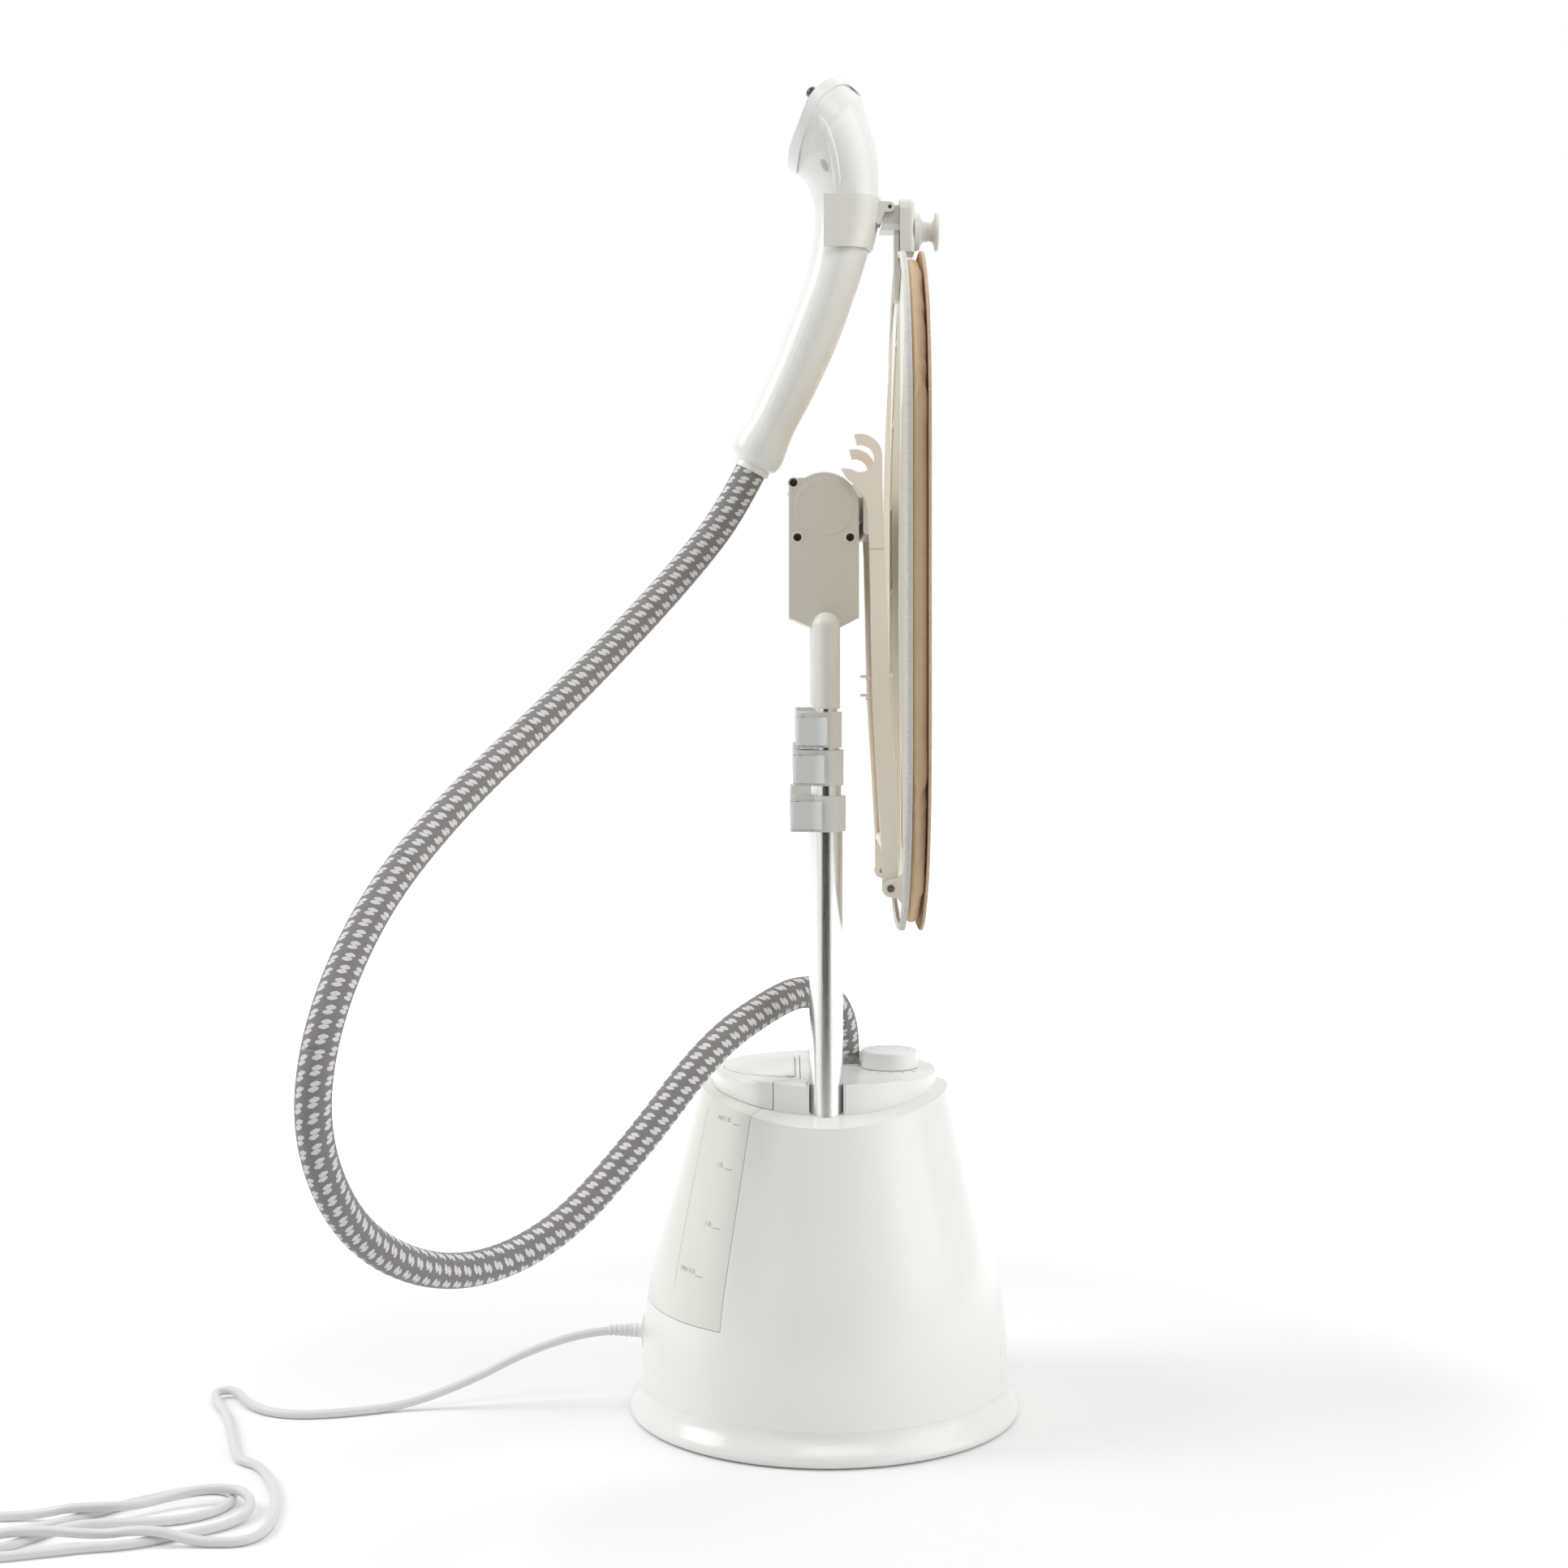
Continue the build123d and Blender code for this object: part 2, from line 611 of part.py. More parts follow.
with BuildPart() as dial:
    with BuildSketch(Plane.XY.offset(deck_z + slide_gap)):
        with Locations((dial_x, 0)):
            Circle(dial_radius)
    extrude(amount=dial_top_z - deck_z - slide_gap)
    fillet(dial.faces().sort_by(Axis.Z)[-1].edges(), 1.4)
    with Locations((dial_x, 0, dial_top_z)):
        Cylinder(button_radius + slide_gap / 2, 8, mode=Mode.SUBTRACT)
    with Locations((dial_x, 0, dial_top_z - 5)):
        Cylinder(dial_shaft_radius, 40, align=(Align.CENTER, Align.CENTER, Align.MAX))
save(dial.part, "dial")

with BuildPart() as dial_button:
    with BuildSketch(Plane.XY.offset(dial_top_z - 4 + button_travel + 0.3)):
        with Locations((dial_x, 0)):
            Circle(button_radius)
    extrude(amount=4 - button_travel - 0.3)
    fillet(dial_button.faces().sort_by(Axis.Z)[-1].edges(), 0.6)
save(dial_button.part, "dial_button")

with BuildPart() as cord_gland:
    with BuildSketch(gland_plane):
        SlotOverall(*gland_size, rotation=90)
    extrude(amount=gland_plate)
    fillet(cord_gland.faces().sort_by(Axis.X)[0].edges(), 1.0)
    with BuildSketch(gland_plane.offset(gland_plate)):
        Circle(mains_diameter / 2 + 2.4)
    extrude(amount=gland_x - gland_plate - mains_route[0][0], taper=7)
    with BuildSketch(gland_plane):
        Circle(gland_bush_radius)
    extrude(amount=-5)
save(cord_gland.part, "cord_gland")

# ================================================================== telescopic poles
for stage, name in enumerate(("outer_tubes", "lower_tubes", "middle_tubes", "upper_tubes")):
    if stage < 3:
        top_z = clamp_low_z[stage] + clamp_height - 1.5
    else:
        top_z = sleeve_top_z - sleeve_radius
    save(pole_tubes(tube_radii[stage], tube_wall, tube_low_z[stage], top_z), name)

lever_low = 2.0
clamp_half = 11.6


def clamp_plan(stage):
    """Round about the pole with a box on the back side, which carries the lever."""
    with BuildSketch(Plane.XY) as plan:
        Circle(clamp_round[stage])
        with Locations((-clamp_box[stage], 0)):
            Rectangle(clamp_box[stage], 2 * clamp_half, align=(Align.MIN, Align.CENTER))
        fillet(plan.vertices().sort_by(Axis.X)[:2], 2.0)
        with Locations((-clamp_box[stage], 0)):
            Rectangle(clamp_box[stage], clamp_slit, align=(Align.MIN, Align.CENTER),
                      mode=Mode.SUBTRACT)
    return plan.sketch


def lever_axis(stage):
    """Where a lever's pin stands, beside the pole's axis, for a pole on the -Y side."""
    return -clamp_box[stage] + 3.0, -clamp_half + 0.9


def make_clamp(stage):
    """One split clamp about the pole's axis, with the lever on its -Y face."""
    pin_x, pin_y = lever_axis(stage)
    knuckle = lever_thick + 1.2
    low_z = clamp_low_z[stage]
    with BuildPart() as clamp:
        extrude(clamp_plan(stage).moved(Location((0, 0, low_z))), amount=clamp_height)
        with Locations((0, 0, low_z)):
            Cylinder(tube_radii[stage] + run_gap, clamp_height - 1.5, mode=Mode.SUBTRACT,
                     align=(Align.CENTER, Align.CENTER, Align.MIN))
            Cylinder(tube_radii[stage + 1] + 3 * run_gap, clamp_height, mode=Mode.SUBTRACT,
                     align=(Align.CENTER, Align.CENTER, Align.MIN))
        with BuildSketch(Plane.XY.offset(low_z + lever_low - 0.3)):
            with Locations((pin_x, pin_y)):
                Circle(knuckle + slide_gap)
                Rectangle(20, 20, align=(Align.MAX, Align.MAX))
        extrude(amount=lever_height + 0.6, mode=Mode.SUBTRACT)
        with BuildSketch(Plane.XY.offset(low_z)):
            with Locations((pin_x, pin_y)):
                Circle(lever_pin_radius)
        extrude(amount=clamp_height)
    return clamp.part


def make_lever(stage):
    """One clamp lever: a knuckle on the pin and a curved plate ending in a finger edge."""
    pin_x, pin_y = lever_axis(stage)
    knuckle = lever_thick + 1.2
    face_y = pin_y - knuckle
    end_x = -clamp_box[stage] + lever_length
    with BuildPart() as lever:
        with BuildSketch(Plane.XY.offset(clamp_low_z[stage] + lever_low)):
            with BuildLine():
                Line((pin_x, face_y), (end_x - 8, face_y))
                ThreePointArc((end_x - 8, face_y), (end_x - 3.8, face_y - 0.9), (end_x, face_y - 3.2))
                ThreePointArc((end_x, face_y - 3.2), (end_x + 1.0, face_y - 2.6), (end_x, face_y - 1.2))
                ThreePointArc((end_x, face_y - 1.2), (end_x - 4.2, face_y + 0.8),
                              (end_x - 8.6, face_y + lever_thick))
                Polyline((end_x - 8.6, face_y + lever_thick), (pin_x, face_y + lever_thick),
                         (pin_x, face_y))
            make_face()
            with Locations((pin_x, pin_y)):
                Circle(knuckle)
                Circle(lever_pin_radius + run_gap, mode=Mode.SUBTRACT)
        extrude(amount=lever_height)
    return lever.part


near_pole = Location((0, -pole_y, 0))
for stage, name in enumerate(("lower", "middle", "top")):
    near_clamp = make_clamp(stage).moved(near_pole)
    save(Compound(children=[near_clamp, mirror(near_clamp, about=Plane.XZ)]), f"{name}_clamps")
    near_lever = make_lever(stage).moved(near_pole)
    save(near_lever, f"{name}_lever_near")
    save(mirror(near_lever, about=Plane.XZ), f"{name}_lever_far")

with BuildPart() as pole_sleeves:
    with Locations((0, -pole_y, sleeve_low_z), (0, pole_y, sleeve_low_z)):
        Cylinder(sleeve_radius, sleeve_top_z - sleeve_radius - sleeve_low_z,
                 align=(Align.CENTER, Align.CENTER, Align.MIN))
    with Locations((0, -pole_y, sleeve_top_z - sleeve_radius), (0, pole_y, sleeve_top_z - sleeve_radius)):
        Sphere(sleeve_radius)
    with Locations((0, -pole_y, sleeve_low_z), (0, pole_y, sleeve_low_z)):
        Cylinder(tube_radii[3] + run_gap, sleeve_top_z - sleeve_radius - sleeve_low_z,
                 align=(Align.CENTER, Align.CENTER, Align.MIN), mode=Mode.SUBTRACT)
save(pole_sleeves.part, "pole_sleeves")

# ================================================================== head
head_front_x = tilt_x + head_top_round


def head_profile():
    """Side outline of the head: flat back and front, keeled underside, dome on top."""
    lobe_x, lobe_z = screw_places[0]
    lobe = lobe_x - head_back_x
    shoulder_z = lobe_z + lobe
    dome_left = tilt_x - sqrt(head_top_round**2 - (shoulder_z + 0.6 - tilt_z)**2)
    with BuildSketch(Plane.XZ) as outline:
        with BuildLine():
            Polyline((head_back_x, lobe_z), (head_back_x, head_low_z + 1), (-11, head_keel_z),
                     (11, head_keel_z), (head_front_x, head_low_z + 1), (head_front_x, tilt_z))
            ThreePointArc((head_front_x, tilt_z),
                          (tilt_x + head_top_round * sin(radians(45)),
                           tilt_z + head_top_round * cos(radians(45))),
                          (tilt_x, tilt_z + head_top_round))
            ThreePointArc((tilt_x, tilt_z + head_top_round),
                          (tilt_x - head_top_round * sin(radians(15)),
                           tilt_z + head_top_round * cos(radians(15))),
                          (dome_left, shoulder_z + 0.6))
            Line((dome_left, shoulder_z + 0.6), (lobe_x, shoulder_z))
            ThreePointArc((lobe_x, shoulder_z), (lobe_x - lobe * sin(radians(45)),
                                                 lobe_z + lobe * cos(radians(45))),
                          (head_back_x, lobe_z))
        make_face()
    return outline.sketch


def rod_y(x, z, radius, near, far):
    """A solid round bar along Y between two places."""
    with BuildPart() as rod:
        with BuildSketch(Plane.XZ.offset(-far)):
            with Locations((x, z)):
                Circle(radius)
        extrude(amount=far - near)
    return rod.part


def both_sides(x, z, radius, near, far):
    """The same bar on both sides of the middle."""
    return rod_y(x, z, radius, near, far) + rod_y(x, z, radius, -far, -near)


sleeve_pockets = pole_tubes(sleeve_radius + run_gap, 0, head_keel_z - 10,
                            sleeve_top_z - sleeve_radius)
for side in (-1, 1):
    with BuildPart() as dome:
        with Locations((0, side * pole_y, sleeve_top_z - sleeve_radius)):
            Sphere(sleeve_radius + run_gap)
    sleeve_pockets += dome.part

drum_gap = slide_gap
slot_low, slot_high = -31.0, 119.0
with BuildPart() as head_housing:
    extrude(head_profile(), amount=head_core_half, both=True)
    add(rod_y(tilt_x, tilt_z, drum_radius + drum_gap, -drum_half - drum_gap, drum_half + drum_gap),
        mode=Mode.SUBTRACT)
    with BuildSketch(Plane.XZ):
        with BuildLine():
            Polyline((tilt_x, tilt_z),
                     (tilt_x + 70 * cos(radians(slot_low)), tilt_z + 70 * sin(radians(slot_low))),
                     (tilt_x + 90, tilt_z + 90),
                     (tilt_x + 70 * cos(radians(slot_high)), tilt_z + 70 * sin(radians(slot_high))),
                     (tilt_x, tilt_z))
        make_face()
    extrude(amount=drum_half + drum_gap, both=True, mode=Mode.SUBTRACT)
    with Locations(((head_back_x + head_front_x) / 2, 0, head_low_z + 4)):
        Box(head_front_x - head_back_x - 6, 2 * head_core_half - 24, 48,
            align=(Align.CENTER, Align.CENTER, Align.MIN), mode=Mode.SUBTRACT)
    add(rod_y(tilt_x, tilt_z, axle_radius + run_gap, -head_core_half, head_core_half),
        mode=Mode.SUBTRACT)
    for x, z in screw_places:
        add(both_sides(x, z, 1.5 + run_gap, head_core_half - 12, head_core_half), mode=Mode.SUBTRACT)
    add(sleeve_pockets, mode=Mode.SUBTRACT)
save(head_housing.part, "head_housing")

with BuildPart() as head_covers:
    extrude(head_profile().moved(Location((0, -head_core_half, 0))), amount=head_half - head_core_half)
    fillet(head_covers.faces().sort_by(Axis.Y)[0].edges(), 0.8)
    add(rod_y(tilt_x, tilt_z, boss_radius, -head_half - 0.4, -head_half))
    for x, z in screw_places:
        add(rod_y(x, z, screw_head_radius + run_gap, -head_half - 1, -head_core_half - 1.2),
            mode=Mode.SUBTRACT)
        add(rod_y(x, z, 1.5 + run_gap, -head_half, -head_core_half), mode=Mode.SUBTRACT)
    add(sleeve_pockets, mode=Mode.SUBTRACT)
    mirror(about=Plane.XZ)
save(head_covers.part, "head_covers")

with BuildPart() as head_screws:
    for x, z in screw_places:
        add(both_sides(x, z, screw_head_radius, head_core_half + 1.2, head_half - 1.4))
        add(both_sides(x, z, 1.5, head_core_half - 11, head_core_half + 1.2))
save(head_screws.part, "head_screws")

save(rod_y(tilt_x, tilt_z, axle_radius, -head_core_half, head_core_half), "tilt_axle")

# ------------------------------------------------------------------ tilting arms
with BuildPart() as tilt_bracket:
    add(rod_y(tilt_x, tilt_z, drum_radius, -drum_half, drum_half))
    with Locations(((tilt_x + bar_back_x + 2) / 2, 0, tilt_z)):
        Box(bar_back_x + 2 - tilt_x, 2 * drum_half, 2 * neck_half_height)
    with BuildSketch(Plane.XZ):
        with Locations(((bar_back_x + bar_front_x) / 2, (bar_low_z + bar_high_z) / 2)):
            RectangleRounded(bar_front_x - bar_back_x, bar_high_z - bar_low_z, 2.5)
    extrude(amount=arm_inner, both=True)
    add(rod_y(tilt_x, tilt_z, axle_radius + run_gap, -drum_half, drum_half), mode=Mode.SUBTRACT)
save(tilt_bracket.part, "tilt_bracket")

seam_back_x, seam_front_x = 32.2, 43.1
with BuildPart() as hook_brackets:
    with BuildSketch(Plane.XZ.offset(arm_inner)):
        with BuildLine():
            Spline((12.9, 713.4), (21.0, 704.6), (28.6, 694.6), (31.2, 680.0),
                   tangents=((0.5, -1), (0.04, -1)))
            Polyline((31.2, 680.0), (seam_back_x, arm_seam_z), (seam_front_x, arm_seam_z),
                     (41.8, 700), (hook_x - 0.4 + hook_outer, hook_z + 1.6), (hook_x, hook_z + 1.6),
                     (14.8, 716.4))
            ThreePointArc((14.8, 716.4), (12.6, 715.6), (12.9, 713.4))
        make_face()
        with Locations((hook_x - 0.4, hook_z + 1.6)):
            Circle(hook_outer)
        with Locations((hook_x, hook_z)):
            Circle(hook_inner + 0.6, mode=Mode.SUBTRACT)
        with BuildLine():
            Polyline((hook_x, hook_z), (hook_x - 9.5, hook_z + 36), (hook_x - 45, hook_z + 36),
                     (hook_x - 45, hook_z - 7.5), (14.8, hook_z - 7.5), (18.6, hook_z - 8.2),
                     (hook_x, hook_z))
        make_face(mode=Mode.SUBTRACT)
    extrude(amount=arm_outer - arm_inner)
    mirror(about=Plane.XZ)
save(hook_brackets.part, "hook_brackets")

flange_inner = 57.0
flange_thick = 2.0
arm_back = ((seam_back_x, arm_seam_z), (34.8, 545.0), (41.2, 432.0))
with BuildPart() as arm_bars:
    with BuildSketch(Plane.XZ.offset(arm_inner)):
        with BuildLine():
            Polyline(*arm_back, (board_pin_x - 6.0, board_pin_z), (board_pin_x + 6.0, board_pin_z),
                     (53.1, 432.0), (47.9, 545.0), (seam_front_x, arm_seam_z), arm_back[0])
        make_face()
        with Locations((board_pin_x, board_pin_z)):
            Circle(6.0)
            Circle(board_pin_radius + run_gap, mode=Mode.SUBTRACT)
    extrude(amount=arm_outer - arm_inner)
    with BuildSketch(Plane.XZ.offset(flange_inner)):
        with BuildLine():
            Polyline(*arm_back, (41.2 + flange_thick, 432.0), (34.8 + flange_thick, 545.0),
                     (seam_back_x + flange_thick, arm_seam_z), arm_back[0])
        make_face()
        with Locations((32.6, 561.0), (32.8, 546.0)):
            Rectangle(6, 2)
    extrude(amount=arm_inner - flange_inner)
    mirror(about=Plane.XZ)
    add(rod_y(45.2, 434.0, 3.5, -arm_inner, arm_inner))
save(arm_bars.part, "arm_bars")

# ================================================================== ironing board
board_mid_z = (board_low_z + board_high_z) / 2
board_height = board_high_z - board_low_z


def board_outline(x, inset):
    """The board's outline in the plane at x, drawn in by inset."""
    with BuildSketch(Plane.YZ.offset(x)) as outline:
        with Locations((0, board_mid_z)):
            RectangleRounded(2 * (board_half - inset), board_height - 2 * inset, board_corner - inset)
    return outline.sketch


plate_back_x = frame_front_x - frame_plate
rim_sag = 8.5
rim_half = board_height / 2 - frame_inset
rim_arc = (rim_half**2 + rim_sag**2) / (2 * rim_sag)
window_pitch = 64.0
with BuildPart() as board_frame:
    extrude(board_outline(frame_deep_x - 1, frame_inset), amount=frame_front_x - frame_deep_x + 1)
    extrude(board_outline(frame_deep_x - 2, frame_inset + rim_wall),
            amount=plate_back_x - frame_deep_x + 2, mode=Mode.SUBTRACT)
    with BuildSketch(Plane.YZ.offset(plate_back_x)):
        with Locations((-52, 508), (52, 508), (-52, 690), (52, 690)):
            SlotOverall(150, 26, rotation=90)
        with Locations((-95, 560), (95, 560), (-95, 700), (95, 700)):
            SlotOverall(122, 20, rotation=90)
        with Locations((-126, 560), (126, 560), (-126, 690), (126, 690)):
            SlotOverall(108, 12, rotation=90)
    extrude(amount=frame_plate, mode=Mode.SUBTRACT)
    with BuildSketch(Plane.YZ.offset(spine_back_x + 1.2)):
        with Locations((0, board_mid_z)):
            Rectangle(2 * spine_half, board_height - 80)
            Rectangle(2 * spine_half - 6, board_height - 86, mode=Mode.SUBTRACT)
            with GridLocations(1, window_pitch, 1, 7):
                Rectangle(2 * spine_half, 3)
    extrude(amount=plate_back_x - spine_back_x - 1.2)
    with BuildSketch(Plane.YZ.offset(plate_back_x)):
        with Locations((0, board_mid_z)):
            with GridLocations(1, window_pitch, 1, 6):
                RectangleRounded(24, 36, 3)
    extrude(amount=frame_plate, mode=Mode.SUBTRACT)
    with BuildSketch(Plane.XZ):
        with Locations((frame_deep_x + rim_arc, board_mid_z)):
            Circle(rim_arc)
    extrude(amount=board_half, both=True, mode=Mode.INTERSECT)
    with BuildSketch(Plane.XZ.offset(arm_outer + lug_gap)):
        with BuildLine():
            Polyline((board_pin_x, board_pin_z + lug_radius),
                     (plate_back_x - 4, board_pin_z + lug_radius + 1),
                     (plate_back_x, board_pin_z + lug_radius + 5),
                     (plate_back_x, board_pin_z - lug_radius - 6),
                     (plate_back_x - 4, board_pin_z - lug_radius - 1),
                     (board_pin_x, board_pin_z - lug_radius), (board_pin_x, board_pin_z + lug_radius))
        make_face()
        with Locations((board_pin_x, board_pin_z)):
            Circle(lug_radius)
            Circle(board_pin_radius + run_gap, mode=Mode.SUBTRACT)
    near_lug = extrude(amount=lug_thick)
    mirror(near_lug, about=Plane.XZ)
save(board_frame.part, "board_frame")

save(both_sides(board_pin_x, board_pin_z, board_pin_radius, arm_inner - 1,
                arm_outer + lug_gap + lug_thick + 0.6), "board_pins")

pad_back = frame_front_x + 0.1
with BuildPart() as board_pad:
    extrude(board_outline(pad_back, 0), amount=pad_thick)
    fillet(board_pad.edges().filter_by(lambda e: e.bounding_box().size.X < 0.01), 2.5)
save(board_pad.part, "board_pad")

with BuildPart() as ironing_cloth:
    extrude(board_outline(pad_back + pad_thick + cloth_gap, 1.0), amount=cloth_thick)
    fillet(ironing_cloth.faces().sort_by(Axis.X)[-1].edges(), 1.5)
save(ironing_cloth.part, "ironing_cloth")

with BuildPart() as cover_hem:
    extrude(board_outline(pad_back - 5.3, 0.6), amount=5.2)
    extrude(board_outline(pad_back - 5.3, frame_inset - 0.4), amount=5.2, mode=Mode.SUBTRACT)
    with Locations((pad_back - 3, 0, board_high_z - 5)):
        Box(12, 2 * strip_half + 1, 20, mode=Mode.SUBTRACT)
save(cover_hem.part, "cover_hem")

# ------------------------------------------------------------------ handset holder
with BuildPart() as holder_post:
    with BuildSketch(Plane.YZ.offset(post_back_x)):
        with Locations((0, (board_high_z + 0.5 + post_top_z) / 2)):
            Rectangle(2 * post_half, post_top_z - board_high_z - 0.5)
    extrude(amount=post_front_x - post_back_x)
    fillet(holder_post.faces().sort_by(Axis.Z)[-1].edges().filter_by(Axis.X), 9)
    fillet(holder_post.edges().filter_by(Axis.Z).group_by(Axis.X)[-1], 3.5)
    with BuildSketch(Plane.YZ.offset(strip_back_x)):
        with Locations((0, (strip_low_z + ledge_block_high) / 2)):
            Rectangle(2 * strip_half, ledge_block_high - strip_low_z)
    extrude(amount=plate_back_x - strip_back_x)
    with BuildSketch(Plane.XZ):
        with BuildLine():
            Polyline((42.4, ledge_block_low), (post_back_x + 1, ledge_block_low),
                     (post_back_x + 1, ledge_block_high), (43.6, ledge_block_high),
                     (42.4, ledge_block_low))
        make_face()
    extrude(amount=cheek_outer, both=True)
    with BuildSketch(Plane.XZ):
        with Locations((cradle_pin_x, cradle_pin_z)):
            Circle(knuckle_radius)
        with BuildLine():
            Polyline((cradle_pin_x - knuckle_radius, cradle_pin_z), (45.4, 915.6),
                     (43.6, ledge_block_high - 1), (post_back_x + 1, ledge_block_high - 1),
                     (post_back_x + 1, tongue_top_z), (cradle_pin_x + 3.2, tongue_top_z),
                     (cradle_pin_x, cradle_pin_z + knuckle_radius),
                     (cradle_pin_x - knuckle_radius, cradle_pin_z))
        make_face()
        with Locations((cradle_pin_x, cradle_pin_z)):
            Circle(cradle_pin_radius + run_gap, mode=Mode.SUBTRACT)
    extrude(amount=knuckle_half - slide_gap, both=True)
save(holder_post.part, "holder_post")

save(rod_y(cradle_pin_x, cradle_pin_z, cradle_pin_radius, -cheek_outer, cheek_outer), "cradle_pin")

with BuildPart() as hanger_peg:
    with BuildSketch(Plane.XZ):
        with BuildLine():
            Polyline((post_front_x, peg_z), (post_front_x, peg_z + peg_disc_radius),
                     (post_front_x + 4.4, peg_z + peg_disc_radius - 0.6),
                     (post_front_x + 5.2, peg_z + peg_neck_radius + 3.2))
            ThreePointArc((post_front_x + 5.2, peg_z + peg_neck_radius + 3.2),
                          (post_front_x + 6.6, peg_z + peg_neck_radius + 0.8),
                          (post_front_x + 10.0, peg_z + peg_neck_radius))
            ThreePointArc((post_front_x + 10.0, peg_z + peg_neck_radius),
                          (peg_end_x - 4.4, peg_z + peg_neck_radius + 0.6),
                          (peg_end_x - 3.6, peg_z + peg_neck_radius + 2.6))
            Polyline((peg_end_x - 3.6, peg_z + peg_neck_radius + 2.6),
                     (peg_end_x - 2.6, peg_z + peg_disc_radius), (peg_end_x - 1, peg_z + peg_disc_radius),
                     (peg_end_x, peg_z + peg_disc_radius - 1.2), (peg_end_x, peg_z),
                     (post_front_x, peg_z))
        make_face()
    revolve(axis=Axis((0, 0, peg_z), (1, 0, 0)))
save(hanger_peg.part, "hanger_peg")

# ================================================================== handset
def grip_loft(grow, first=0, last=len(grip_stations), half=None):
    """Smooth solid through the grip's oval stations, each grown by the same amount.

    Where half is given, it is the half width of every station.
    """
    with BuildPart() as grip:
        for (back_x, back_z), (front_x, front_z), half_width in grip_stations[first:last]:
            along = Vector(front_x - back_x, 0, front_z - back_z)
            middle = ((back_x + front_x) / 2, 0, (back_z + front_z) / 2)
            with BuildSketch(Plane(middle, x_dir=along, z_dir=along.cross(Vector(0, 1, 0)))):
                Ellipse(along.length / 2 + grow, half or half_width + grow)
        loft()
    return grip.part


def rim_prism(grow, low, high):
    """The oval of the head's open end, drawn out along its normal between two heights."""
    (back_x, back_z), (front_x, front_z), half_width = grip_stations[-1]
    along = Vector(front_x - back_x, 0, front_z - back_z)
    middle = ((back_x + front_x) / 2, 0, (back_z + front_z) / 2)
    mouth_plane = Plane(middle, x_dir=along, z_dir=along.cross(Vector(0, -1, 0)) * -1)
    with BuildPart() as prism:
        with BuildSketch(mouth_plane.offset(low)):
            Ellipse(along.length / 2 + grow, half_width + grow)
        extrude(amount=high - low)
    return prism.part


def side_region(points, closing):
    """Region of the side view under a smooth curve and a closing line, drawn out sideways."""
    with BuildPart() as region:
        with BuildSketch(Plane.XZ):
            with BuildLine():
                Spline(*points)
                Polyline(points[-1], *closing, points[0])
            make_face()
        extrude(amount=60, both=True)
    return region.part


def shifted(points, drop):
    """Points of the head's front curve moved in along the head's normal."""
    return [(x + 0.737 * drop, z - 0.676 * drop) for x, z in points]


below_head = ((60.0, 960.0), (0.0, 930.0), (-40.0, 935.0))
above_head = ((60.0, 1060.0), (-70.0, 1060.0), (-70.0, 935.0))
outer_wide = [(-29.5, 946.0), *rim_outer, (36.0, 1003.0)]
rim_inner_wide = [(-24.0, 942.0), *rim_inner, (34.0, 1003.5)]
grip_end = grip_loft(0) + (rim_prism(0, 0, 32) & side_region(rim_inner_wide, below_head))
grip_core = grip_loft(-grip_wall, 1) + (rim_prism(-grip_wall, -0.5, 32)
                                        & side_region(shifted(rim_inner_wide, grip_wall), below_head))
seam_points = [(back[0] + seam_share * (front[0] - back[0]), back[1] + seam_share * (front[1] - back[1]))
               for back, front, half_width in grip_stations[1:-3:2]]
seam_low = (seam_points[0][0] - 22, seam_points[0][1] - 44)
seam_curve = [seam_low, *seam_points, (5.8, 952.0), (-1.8, 984.0), (-12.0, 1006.0)]
front_of_seam = side_region(seam_curve, ((80, 1040), (120, 800), (0, 660)))
grip_shell = grip_end - grip_core
cuff_plane = Plane(hose_route[0], x_dir=(0, 1, 0),
                   z_dir=Vector(*hose_route[1]) - Vector(*hose_route[0]))
with BuildPart() as hose_socket:
    with BuildSketch(cuff_plane):
        Circle(7)
    extrude(amount=-30)
grip_shell -= hose_socket.part
save(grip_shell & front_of_seam, "handset_front_shell")
save(grip_shell - front_of_seam, "handset_rear_shell")

rim_band = side_region(outer_wide, above_head)
rim_body = (rim_prism(rim_offset, -8, 40) - side_region(rim_inner_wide, below_head)) - rim_band
plate_pocket = rim_prism(-plate_inset, -8, 40) & side_region(shifted(outer_wide, plate_depth), above_head)
steam_rim = (rim_body - plate_pocket - grip_end).solids().sort_by(SortBy.VOLUME)[-1]
save(steam_rim, "steam_rim")

steam_plate = rim_prism(-plate_inset - run_gap, -8, 40)
steam_plate -= side_region(shifted(outer_wide, plate_recess), above_head)
steam_plate &= side_region(shifted(outer_wide, plate_depth - run_gap), above_head)
with BuildPart() as steam_holes:
    for radius, count in ((9, 6), (17, 10), (25, 14)):
        with BuildSketch(Plane((3.2, 0, 979), x_dir=(0, 1, 0), z_dir=(-0.737, 0, 0.676))):
            with PolarLocations(radius, count):
                Circle(1.1)
        extrude(amount=40)
steam_plate -= steam_holes.part
save(steam_plate, "steam_plate")

with BuildPart() as hose_cuff:
    with BuildSketch(cuff_plane):
        Circle(cuff_radius)
        Circle(hose_diameter / 2 + run_gap, mode=Mode.SUBTRACT)
    extrude(amount=cuff_length)
    fillet(hose_cuff.faces().sort_by(Axis.Z)[0].edges().sort_by(SortBy.RADIUS)[-1], 0.8)
save(hose_cuff.part, "hose_cuff")

